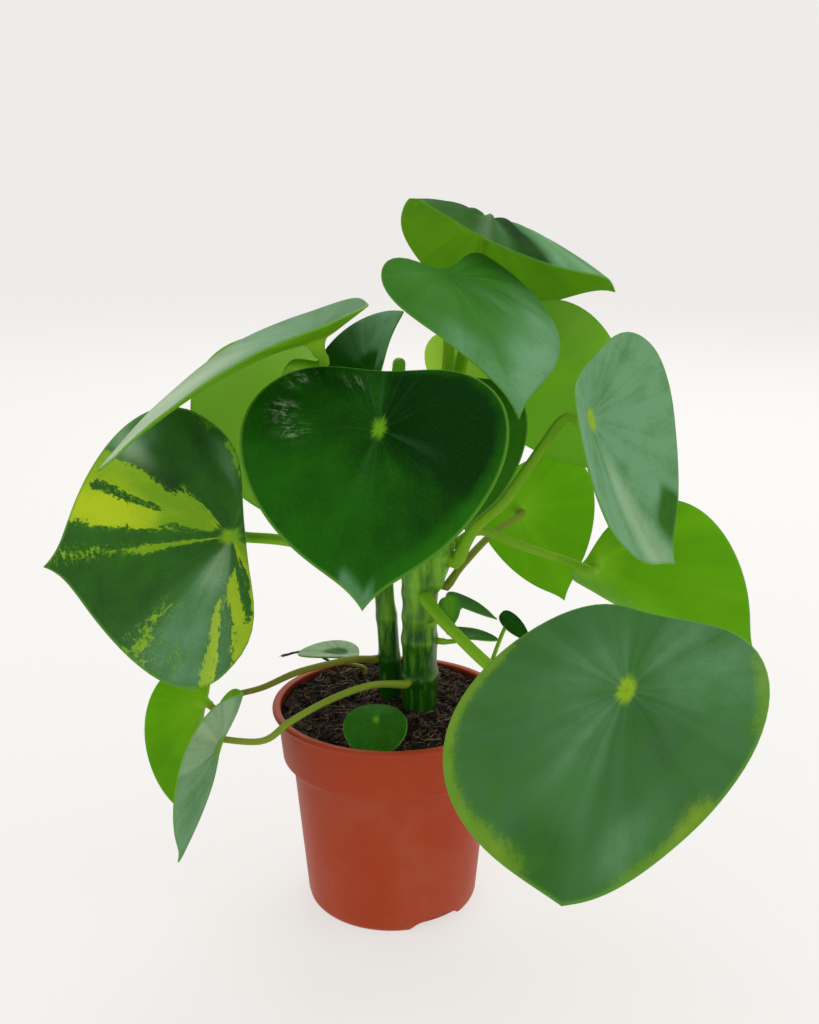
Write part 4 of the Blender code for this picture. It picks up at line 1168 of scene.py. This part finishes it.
    # stalk, which grows olive away from the blade and greener in its groove
    along = finish.noise(finish.join(x * 2.0, y * 2.0, run * 0.03), 1.0, 3.0)
    reddish = ((leaf.olive + along.swing(1.1) - 0.1) * run.step(1.0, 9.0)).clipped()
    stalk_colour = finish.mix(reddish, settings.stalk, settings.olive)
    groove = (y * -1.0 - 2.0).step(0.0, 0.9) * run.step(6.0, 16.0)
    stalk_colour = finish.mix((groove * 0.5 + stipple.swing(0.4)).clipped(), stalk_colour, settings.green)
    skin = finish.mix(stalk, skin, stalk_colour)

    roughness = (look.roughness + (1 - upper) * 0.14 + mottle.swing(0.16) + grain.swing(0.14)
                 + wax * 0.1 - scored * 0.12)
    height = grain * 0.3 + stipple * 0.7 + streaks.swing(0.7) + scored * 0.4
    shader = finish.surface(skin, roughness, height, SKIN_RELIEF, look.specular, {"IOR": PLANT_IOR})
    glow = Vector(settings.glow).lerp(Vector(settings.pale_glow), leaf.pale_below ** 3)
    through = finish.node("ShaderNodeBsdfTranslucent", {}, {"Color": opaque(glow)})
    passing = (look.see_through * (1 - stalk * 0.8) + lime * (0.12 * look.lime)).clipped()
    return finish.done(finish.node("ShaderNodeMixShader", {}, {0: passing, 1: shader, 2: through}))


class PEPEROMIA_OT_leaves(bpy.types.Operator):
    """Build every leaf with its stalk"""

    bl_idname = "peperomia.leaves"
    bl_label = "Leaves"

    def execute(self, context):
        settings = context.scene.peperomia.leaves
        stems = {**STEMS, "branch": BRANCH}
        for leaf in LEAVES:
            points, faces, fields = leaf_mesh(leaf, stems, settings)
            finish = leaf_finish(leaf.name + "_skin", leaf, settings)
            mesh_piece(leaf.name + "_grown", points, faces, fields, finish, leaf.name)
        return {"FINISHED"}


def round_directions(sides, clockwise=False):
    """Cosine and sine of equal turns all round."""
    turns = 2 * math.pi * np.arange(sides) / sides
    if clockwise:
        turns = -turns
    return np.stack([np.cos(turns), np.sin(turns)], axis=1)


def stem_tube(stem, ridge):
    """The stem with lengthwise ridges and a dome at the top, as points and faces."""
    path, radii = stem_path(stem, STEM_SPACING)
    last, way = path[-1], path[-1] - path[-2]
    way = way / np.linalg.norm(way)
    caps = [math.sin(math.radians(turn)) for turn in STEM_DOME]
    path = np.vstack([path, *[last + way * radii[-1] * cap for cap in caps]])
    radii = np.append(radii, [radii[-1] * math.sqrt(1 - cap * cap) for cap in caps])
    directions = round_directions(STEM_SIDES)
    turns = np.arctan2(directions[:, 1], directions[:, 0])
    shape = []
    for (x, y, z), radius in zip(path, radii):
        ridges = np.cos(3 * turns + z * 0.012 + x) ** 4 + 0.6 * np.cos(2 * turns + 1.3 - z * 0.02) ** 6
        uneven = np.array([noise.noise(Vector((c * 1.3, s * 1.3, z / 14 + x))) for c, s in directions])
        shape.append(1 + (ridge * ridges + STEM_UNEVEN * uneven) / max(radius, 2.0))
    return tube(path, radii, (1, 0, 0), (0, 1, 0), directions, shape)


def helper_mesh(points, faces):
    """A helper mesh in metres, not yet a piece."""
    mesh = bpy.data.meshes.new("helper")
    mesh.from_pydata((points * MM).tolist(), [], faces)
    return mesh


def joined_on_grid(meshes, voxel):
    """One skin round several closed meshes, with soft joints between them."""
    bm = bmesh.new()
    for mesh in meshes:
        bm.from_mesh(mesh)
    bmesh.ops.recalc_face_normals(bm, faces=bm.faces)
    whole = bpy.data.meshes.new("helper_whole")
    bm.to_mesh(whole)
    bm.free()
    obj = bpy.data.objects.new("helper_whole", whole)
    bpy.context.scene.collection.objects.link(obj)
    remesh = obj.modifiers.new("remesh", "REMESH")
    remesh.mode = "VOXEL"
    remesh.voxel_size = voxel
    soften = obj.modifiers.new("soften", "SMOOTH")
    soften.factor = 0.5
    soften.iterations = 6
    graph = bpy.context.evaluated_depsgraph_get()
    done = bpy.data.meshes.new_from_object(obj.evaluated_get(graph), depsgraph=graph)
    bpy.data.objects.remove(obj, do_unlink=True)
    points = np.zeros(len(done.vertices) * 3)
    done.vertices.foreach_get("co", points)
    faces = [tuple(p.vertices) for p in done.polygons]
    return points.reshape(-1, 3) / MM, faces


def collar(centre, way, radius):
    """A low rounded collar round a stalk's foot, as a helper mesh."""
    bm = bmesh.new()
    bmesh.ops.create_icosphere(bm, subdivisions=3, radius=1.0)
    lie = way.to_track_quat("Z", "Y").to_matrix().to_4x4()
    size = Matrix.Diagonal((radius, radius, radius * COLLAR_FLATNESS, 1.0))
    placed = Matrix.Scale(MM, 4) @ Matrix.Translation(centre) @ lie @ size
    bmesh.ops.transform(bm, matrix=placed, verts=bm.verts)
    mesh = bpy.data.meshes.new("helper_collar")
    bm.to_mesh(mesh)
    bm.free()
    return mesh


def stem_finish(settings):
    """Fleshy stem: dark and mottled below, paler at its joints and towards the top."""
    finish = Finish("stem_skin")
    place = finish.place()
    joint, age, _ = finish.split(finish.attribute("growth"))
    lengthwise = finish.noise(finish.stretched(place, (330.0, 330.0, 34.0)), 1.0, 4.0, 0.6)
    patches = finish.noise(finish.stretched(place, (120.0, 120.0, 60.0)), 1.0, 3.0, 0.55)
    grain = finish.noise(place, 1300.0, 2.0)
    young = (age * 2.0 + patches.swing(1.2) + lengthwise.swing(1.6) + joint * 0.14 - 0.32).clipped()
    colour = finish.mix(young, settings.dark, settings.light)
    colour = finish.mix(lengthwise.step(0.6, 0.78) * 0.3, colour, settings.streak)
    roughness = 0.3 + patches.swing(0.2) + joint * 0.12
    height = lengthwise * 0.8 + grain * 0.2 + joint * 0.6
    return finish.done(finish.surface(colour, roughness, height, 0.0003, 0.3, {
        "IOR": PLANT_IOR, "Subsurface Weight": 0.12, "Subsurface Radius": (0.4, 0.8, 0.1),
        "Subsurface Scale": 0.004,
    }))


class PEPEROMIA_OT_stems(bpy.types.Operator):
    """Build the two stems with their side branch and collars"""

    bl_idname = "peperomia.stems"
    bl_label = "Stems"

    def execute(self, context):
        settings = context.scene.peperomia.stems
        finish = stem_finish(settings)
        for name, stem in STEMS.items():
            parts = {name: stem, "branch": BRANCH} if name == BRANCH_OF else {name: stem}
            meshes = [helper_mesh(*stem_tube(part, settings.ridge / MM)) for part in parts.values()]
            for leaf in LEAVES:
                if leaf.stem in parts:
                    foot, outward = socket(parts[leaf.stem], *leaf.foot)
                    radius = leaf.stalk_radii[0] * STALK_FLARE * (1 + settings.collar)
                    meshes.append(collar(foot - outward * radius * COLLAR_SINK, outward, radius))
            points, faces = joined_on_grid(meshes, settings.voxel)
            joints = np.zeros(len(points))
            for joint in [j for part in parts.values() for j in part.joints]:
                joints = np.maximum(joints, np.exp(-((points[:, 2] - joint) / JOINT_WIDTH) ** 2))
            low, high = stem.points[0][2], stem.points[-1][2]
            age = np.clip((points[:, 2] - low) / (high - low), 0, 1)
            growth = np.column_stack([joints, age, np.zeros(len(points))])
            mesh_piece(name + "_fleshy", points, faces, {"growth": growth}, finish, name)
        return {"FINISHED"}


def arc(centre, radii, first, last, steps):
    """Profile points on a quarter of an ellipse, from one angle to another."""
    turns = np.radians(np.linspace(first, last, steps))
    return [(centre[0] + radii[0] * math.cos(t), centre[1] + radii[1] * math.sin(t)) for t in turns]


def line(first, last, steps):
    """Profile points on a straight line, without its ends."""
    shares = np.linspace(0, 1, steps + 2)[1:-1]
    return [(first[0] + (last[0] - first[0]) * s, first[1] + (last[1] - first[1]) * s) for s in shares]


def pot_profile(settings):
    """The pot's section from the centre of its foot over the lip to the centre of its floor."""
    rim = settings.rim_radius / MM
    height = settings.height / MM
    lip = settings.lip_height / MM
    wall = settings.wall / MM
    foot_edge = (BODY_LOW_RADIUS, FOOT_ROUNDING)
    band_start = BAND_BOTTOM - SHOULDER_HEIGHT
    body_top = (BODY_TOP_RADIUS, band_start)
    band_low = (BAND_LOW_RADIUS, BAND_BOTTOM)
    band_top = (BAND_TOP_RADIUS, height - lip)
    profile = [(r, 0.0) for r in np.linspace(4, ARCH_DEPTH, 8)]
    profile += [(ARCH_DEPTH + step, 0.0) for step in FOOT_LANDINGS]
    profile += [(FOOT_RADIUS - 1.0, 0.0), (FOOT_RADIUS, 0.0)]
    profile += arc((FOOT_RADIUS, FOOT_ROUNDING), (BODY_LOW_RADIUS - FOOT_RADIUS, FOOT_ROUNDING), -80, 0, 8)
    profile += line(foot_edge, body_top, 16) + [body_top]
    for share in SHOULDER_SHARES:
        out = 0.5 - 0.5 * math.cos(math.pi * share ** 0.85)
        profile.append((body_top[0] + (band_low[0] - body_top[0]) * out,
                        band_start + SHOULDER_HEIGHT * share))
    profile += [band_low] + line(band_low, band_top, 8) + [band_top]
    profile += [(band_top[0] + 0.5, band_top[1] + 0.15)]
    profile += arc((rim - 1.1, height - lip + LIP_UNDERSIDE), (1.1, 0.7), -80, 0, 5)
    profile += [(rim, height - lip / 2)]
    rounding = (RIM_ROUNDING, RIM_ROUNDING)
    profile += arc((rim - RIM_ROUNDING, height - RIM_ROUNDING), rounding, 0, 90, 8)
    inner_top = BAND_TOP_RADIUS - wall
    profile += arc((inner_top + RIM_ROUNDING, height - RIM_ROUNDING), rounding, 90, 180, 6)
    inner = [(inner_top, height - INSIDE_DROP), (BAND_LOW_RADIUS - wall, BAND_BOTTOM + 1.0),
             (BODY_TOP_RADIUS - wall, band_start), (BODY_LOW_RADIUS - wall, BASE_STEP + 1.0),
             (BASE_FLAT_RADIUS + 1.0, BASE_STEP), (BASE_FLAT_RADIUS, BASE_THICKNESS)]
    for first, last in zip(inner, inner[1:]):
        profile += [first] + line(first, last, 4)
    return profile + [inner[-1], (BASE_FLAT_RADIUS / 2, BASE_THICKNESS)]


def arch_height(turns):
    """How high the foot's edge is cut away at each turn round the pot, in degrees."""
    cut = np.zeros_like(turns)
    for i in range(ARCH_COUNT):
        middle = ARCH_FIRST + i * 360.0 / ARCH_COUNT
        share = from_angle(turns, middle) / (ARCH_SPAN / 2)
        cut = np.maximum(cut, ARCH_HEIGHT * np.clip(1 - np.abs(share) ** ARCH_SQUARENESS, 0, 1))
    return cut


def pot_finish(settings):
    """Terracotta coloured plastic: faint moulding lines, scuffs and dust, and soil smears with painted shade
    on the inner wall above the soil.
    """
    finish = Finish("moulded_plastic")
    place = finish.place()
    x, y, z = finish.split(place)
    cloud = finish.noise(place, 28.0, 5.0, 0.6)
    smear = finish.noise(finish.stretched(place, (60.0, 60.0, 16.0)), 1.0, 4.0, 0.6)
    grain = finish.noise(place, 2600.0, 3.0, 0.6)
    rings = finish.noise(finish.join(z * 900.0, 0.0, 0.0), 1.0, 4.0, 0.7)
    specks = finish.noise(place, 520.0, 1.0)
    radius = finish.length(finish.join(x, y, 0.0))
    scuffed = (cloud.step(0.4, 0.8) * 0.36 + smear.step(0.5, 0.85) * 0.2).clipped()
    colour = finish.mix(scuffed, settings.colour, settings.faded)
    dusty = z.step(0.018, 0.0) * cloud.step(0.4, 0.7) * 0.35
    colour = finish.mix(dusty, colour, settings.dust)
    colour = finish.mix(specks.step(0.76, 0.79) * 0.6, colour, settings.speck)
    # painted shade: the inner wall above the soil is darkened, most just under the lip, with smears of soil
    # on it
    inside = radius.step(*INNER_WALL) * z.step(*ABOVE_SOIL)
    earth_and_shade = inside * (z.step(*LIP_INSIDE) * 0.8 + smear.step(0.45, 0.6) * 0.4)
    colour = finish.mix(earth_and_shade.clipped(), colour, settings.earth_and_shade)
    roughness = settings.roughness + cloud.swing(0.22) + smear.swing(0.16) + grain.swing(0.1)
    height = grain * 0.25 + rings * 0.35 + smear * 0.5
    return finish.done(finish.surface(colour, roughness, height, 0.00018, 0.12, {
        "Subsurface Weight": 0.05, "Subsurface Radius": (1.0, 0.25, 0.1), "Subsurface Scale": 0.003,
    }))


class PEPEROMIA_OT_pot(bpy.types.Operator):
    """Build the moulded nursery pot"""

    bl_idname = "peperomia.pot"
    bl_label = "Pot"

    def execute(self, context):
        settings = context.scene.peperomia.pot
        directions = round_directions(POT_STEPS)
        turns = np.degrees(np.arctan2(directions[:, 1], directions[:, 0]))
        cut = arch_height(turns)
        rings = []
        for radius, height in pot_profile(settings):
            heights = np.full(POT_STEPS, height)
            if radius > ARCH_DEPTH and height < BASE_STEP - 1:
                heights = np.maximum(heights, cut)
            rings.append(np.column_stack([directions * radius, heights]))
        points, faces = ring_mesh(rings, (0, 0, 0), (0, 0, BASE_THICKNESS))
        mesh_piece("pot_moulded", points, faces, {}, pot_finish(settings), "pot")
        return {"FINISHED"}


def soil_height(x, y):
    """The rough top of the soil, which rises a little towards the back."""
    bump = noise.fractal(Vector((x / SOIL_BUMP_LENGTH, y / SOIL_BUMP_LENGTH, 3.7)), *SOIL_OCTAVES)
    return SOIL_TOP + SOIL_ROUGHNESS * bump + SOIL_SLOPE * y


def drawn_spot(draw, radius):
    """A random spot on the soil, spread evenly over a disc."""
    out = radius * math.sqrt(draw.uniform())
    turn = draw.uniform(0, 2 * math.pi)
    return out * math.cos(turn), out * math.sin(turn)


def crumb(template, draw, centre, size):
    """One lump of peat: a ball squashed, turned and dented."""
    squash = size * draw.uniform(*CRUMB_SQUASH, 3)
    turn = np.array(Vector(draw.normal(size=3)).to_track_quat("Z", "Y").to_matrix())
    wave = draw.uniform(*DENT_WAVES, (3, 3))
    phase = draw.uniform(0, 6.28, 3)
    dents = 1 + CRUMB_DENTS * np.sin(template @ wave + phase).sum(axis=1)
    return centre + (template * dents[:, None] * squash) @ turn.T


def ball_template(subdivisions):
    bm = bmesh.new()
    bmesh.ops.create_icosphere(bm, subdivisions=subdivisions, radius=1.0)
    points = np.array([v.co for v in bm.verts])
    faces = np.array([[v.index for v in f.verts] for f in bm.faces])
    bm.free()
    return points, faces


def soil_finish(settings):
    """Peat: moist and nearly black, drier brown crumbs and pale fibres."""
    finish = Finish("peat")
    place = finish.place()
    dry, fibre, _ = finish.split(finish.attribute("kind"))
    clods = finish.noise(place, 240.0, 6.0, 0.7)
    grit = finish.noise(place, 1400.0, 4.0, 0.7)
    dryness = (dry * 0.8 + clods.swing(1.5) + grit.swing(1.2) + 0.02).clipped()
    colour = finish.mix(dryness, settings.colour, settings.dry)
    colour = finish.mix(grit.step(0.66, 0.8) * 0.4, colour, settings.grit)
    colour = finish.mix(fibre * (0.55 + grit * 0.5), colour, settings.fibre)
    height = clods * 0.5 + grit * 0.6
    return finish.done(finish.surface(colour, 0.8 + grit.swing(0.3), height, 0.0007, 0.15))


class PEPEROMIA_OT_soil(bpy.types.Operator):
    """Build the peat with its crumbs and fibres"""

    bl_idname = "peperomia.soil"
    bl_label = "Soil"

    def execute(self, context):
        settings = context.scene.peperomia.soil
        draw = np.random.default_rng(SEED)
        directions = round_directions(SOIL_SPOKES, True)
        top_radius = (SOIL_HIGH.x - SOIL_LOW.x) / 2 / MM
        rings = []
        for step in range(1, SOIL_RINGS + 1):
            spots = directions * top_radius * step / SOIL_RINGS
            heights = []
            for x, y in spots:
                rough = noise.fractal(Vector((x / GRIT_LENGTH, y / GRIT_LENGTH, 9.1)), *GRIT_OCTAVES)
                heights.append(soil_height(x, y) + GRIT_HEIGHT * rough)
            rings.append(np.column_stack([spots, heights]))
        for radius, height in SOIL_SIDE:
            rings.append(np.column_stack([directions * radius, np.full(SOIL_SPOKES, height)]))
        heap = Heap()
        heap.add(*ring_mesh(rings, (0, 0, soil_height(0, 0)), (0, 0, SOIL_SIDE[-1][1])))
        kinds = [np.zeros((heap.count, 3))]
        big, small = ball_template(2), ball_template(1)
        for index in range(settings.crumbs):
            large = index % 5 < 2
            template, template_faces = big if large else small
            size = settings.crumb_size / MM * draw.uniform(*(BIG_CRUMBS if large else SMALL_CRUMBS))
            x, y = drawn_spot(draw, top_radius - CRUMB_MARGIN)
            height = soil_height(x, y) + size * draw.uniform(*CRUMB_LIFT)
            lump = crumb(template, draw, (x, y, height), size)
            heap.add(lump, template_faces)
            kinds.append(np.tile((draw.uniform() ** 2, 0, 0), (len(lump), 1)))
        for _ in range(settings.fibres):
            x, y = drawn_spot(draw, top_radius - FIBRE_MARGIN)
            lie = draw.uniform(0, 2 * math.pi)
            way = np.array((math.cos(lie), math.sin(lie), 0.0))
            reach = draw.uniform(*FIBRE_LENGTHS)
            bow = draw.uniform(-FIBRE_BOW, FIBRE_BOW) * reach
            along = np.linspace(-0.5, 0.5, FIBRE_STEPS)
            path = np.array((x, y, 0.0)) + np.outer(along * reach, way)
            path = path + np.outer(bow * (1 - 4 * along ** 2), (-way[1], way[0], 0.0))
            outside = np.hypot(path[:, 0], path[:, 1]) > top_radius - FIBRE_CLEARANCE
            if outside.any():
                continue
            lift = draw.uniform(*FIBRE_LIFTS)
            tilt = 1 + 2 * FIBRE_TILT * draw.uniform() * along
            path[:, 2] = [soil_height(a, b) for a, b, _ in path] + lift * tilt
            radii = np.full(FIBRE_STEPS, draw.uniform(*FIBRE_RADII))
            side = np.cross(way, (0, 0, 1))
            points, faces = tube(path, radii, side, (0, 0, 1), round_directions(FIBRE_SIDES))
            heap.add(points, faces)
            kinds.append(np.tile((0.5, draw.uniform(*FIBRE_PALENESS), 0), (len(points), 1)))
        mesh_piece("soil_peat", np.vstack(heap.points), heap.faces, {"kind": np.vstack(kinds)},
                   soil_finish(settings), "soil")
        return {"FINISHED"}


def dry_finish(settings):
    """Dried flower stalk: shrunken, brown and fibrous."""
    finish = Finish("dried_fibre")
    strands = finish.noise(finish.stretched(finish.place(), (500.0, 1400.0, 1400.0)), 1.0, 4.0, 0.6)
    colour = finish.mix(strands.step(0.35, 0.75), settings.dry, settings.dry_light)
    return finish.done(finish.surface(colour, 0.7 + strands.swing(0.3), strands, 0.0004, 0.5))


class PEPEROMIA_OT_dry_stalk(bpy.types.Operator):
    """Build the dried flower stalk with its frayed end"""

    bl_idname = "peperomia.dry_stalk"
    bl_label = "Dried stalk"

    def execute(self, context):
        settings = context.scene.peperomia.stems
        draw = np.random.default_rng(SEED)
        path, shares = smooth_path(DRY_STALK_POINTS, DRY_SPACING)
        radii = DRY_RADIUS * (1 - DRY_TAPER * shares)
        shape = [1 + DRY_WRINKLES * draw.normal(size=DRY_SIDES) + DRY_BULGES * math.sin(step / 3)
                 for step in range(len(path))]
        heap = Heap()
        heap.add(*tube(path, radii, (1, 0, 0), (0, 1, 0), round_directions(DRY_SIDES), shape))
        end, way = path[-1], path[-1] - path[-4]
        way = way / np.linalg.norm(way)
        for _ in range(STRANDS):
            spread = draw.normal(size=3) * STRAND_SPREAD
            tip = end + (way + spread) * draw.uniform(*STRAND_REACH)
            twig = np.linspace(end - way * 3, tip, STRAND_STEPS)
            radii = np.linspace(*STRAND_RADII, STRAND_STEPS)
            heap.add(*tube(twig, radii, (0, 1, 0), (0, 0, 1), round_directions(STRAND_SIDES)))
        mesh_piece("dry_stalk_frayed", np.vstack(heap.points), heap.faces, {}, dry_finish(settings),
                   "dry_stalk")
        return {"FINISHED"}


def plain_finish(name, colour, glow):
    """The stage's paper, lit from behind: even and matt with the faintest unevenness."""
    finish = Finish(name)
    cloud = finish.noise(finish.place(), 1.3, 2.0)
    tone = finish.mix(cloud, tuple(c * 0.985 for c in colour), colour)
    return finish.done(finish.node("ShaderNodeBsdfPrincipled", {}, {
        "Base Color": tone, "Roughness": 0.9, "Specular IOR Level": 0.0,
        "Emission Color": opaque(glow), "Emission Strength": 1.0,
    }))


def area_light(name, place, size, power):
    """A soft light that shines on the plant."""
    data = bpy.data.lights.new(name, "AREA")
    data.shape = "RECTANGLE"
    data.size, data.size_y = size
    data.energy = power
    light = bpy.data.objects.new(name, data)
    light.location = place
    light.rotation_euler = (Vector(PLANT_MIDDLE) - Vector(place)).to_track_quat("-Z", "Y").to_euler()
    bpy.context.scene.collection.objects.link(light)


class PEPEROMIA_OT_stage(bpy.types.Operator):
    """Set up the pale stage, the lights and the camera"""

    bl_idname = "peperomia.stage"
    bl_label = "Stage"

    def execute(self, context):
        settings = context.scene.peperomia.stage
        floor = settings.floor_radius
        profile = [(floor * share, 0.0) for share in FLOOR_SHARES]
        for turn in np.radians(WALL_TURNS):
            profile.append((floor + WALL_BEND * math.sin(turn), WALL_BEND * (1 - math.cos(turn))))
        profile.append((floor + WALL_BEND, WALL_HEIGHT))
        directions = round_directions(FLOOR_SIDES, True)
        bm = bmesh.new()
        rings = [[bm.verts.new((x * r, y * r, z)) for x, y in directions] for r, z in profile]
        bm.faces.new(reversed(rings[0]))
        for low, high in zip(rings, rings[1:]):
            for i in range(len(low)):
                j = (i + 1) % len(low)
                bm.faces.new((low[j], high[j], high[i], low[i]))
        mesh = bpy.data.meshes.new("floor")
        bm.to_mesh(mesh)
        bm.free()
        mesh.shade_smooth()
        mesh.materials.append(plain_finish("pale_paper", settings.floor, settings.glow))
        stage = bpy.data.objects.new("floor", mesh)
        context.scene.collection.objects.link(stage)
        area_light("back_light", *BACK_LIGHT, settings.back_light)
        area_light("front_light", *FRONT_LIGHT, settings.front_light)
        area_light("side_light", *SIDE_LIGHT, settings.side_light)
        world = bpy.data.worlds.new("studio")
        context.scene.world = world
        world.use_nodes = True
        sky = world.node_tree.nodes["Background"]
        sky.inputs["Color"].default_value = (1.0, 1.0, 1.0, 1.0)
        sky.inputs["Strength"].default_value = settings.sky
        data = bpy.data.cameras.new("camera")
        data.lens = settings.focal_length
        data.sensor_width = SENSOR
        data.sensor_fit = "VERTICAL"
        data.sensor_height = SENSOR
        camera = bpy.data.objects.new("camera", data)
        camera.location = CAMERA_PLACE
        camera.rotation_euler = (math.radians(CAMERA_TILT), 0.0, 0.0)
        context.scene.collection.objects.link(camera)
        context.scene.camera = camera
        context.scene.view_settings.view_transform = "Standard"
        return {"FINISHED"}


class PEPEROMIA_PT_panel(bpy.types.Panel):
    """The plant's settings and the pieces that can be built"""

    bl_idname = "PEPEROMIA_PT_panel"
    bl_label = "Potted Peperomia"
    bl_space_type = "VIEW_3D"
    bl_region_type = "UI"
    bl_category = "Peperomia"

    def draw(self, context):
        settings = context.scene.peperomia
        groups = (("Pot", settings.pot, "peperomia.pot"), ("Soil", settings.soil, "peperomia.soil"),
                  ("Stems", settings.stems, "peperomia.stems"),
                  ("Dried stalk", settings.stems, "peperomia.dry_stalk"),
                  ("Leaves", settings.leaves, "peperomia.leaves"),
                  ("Stage", settings.stage, "peperomia.stage"))
        for title, group, operator in groups:
            box = self.layout.box()
            box.label(text=title)
            for name in group.bl_rna.properties.keys():
                if name not in ("name", "rna_type"):
                    box.prop(group, name)
            box.operator(operator)


CLASSES = (PotSettings, SoilSettings, StemSettings, LeafSettings, StageSettings, PeperomiaSettings,
           PEPEROMIA_OT_pot, PEPEROMIA_OT_soil, PEPEROMIA_OT_stems, PEPEROMIA_OT_dry_stalk,
           PEPEROMIA_OT_leaves, PEPEROMIA_OT_stage, PEPEROMIA_PT_panel)


def register():
    for cls in CLASSES:
        bpy.utils.register_class(cls)
    bpy.types.Scene.peperomia = PointerProperty(type=PeperomiaSettings)


def unregister():
    del bpy.types.Scene.peperomia
    for cls in reversed(CLASSES):
        bpy.utils.unregister_class(cls)


def main():
    """Builds every piece."""
    register()
    bpy.ops.peperomia.stage()
    bpy.ops.peperomia.pot()
    bpy.ops.peperomia.soil()
    bpy.ops.peperomia.stems()
    bpy.ops.peperomia.dry_stalk()
    bpy.ops.peperomia.leaves()


if __name__ == "__main__":
    main()
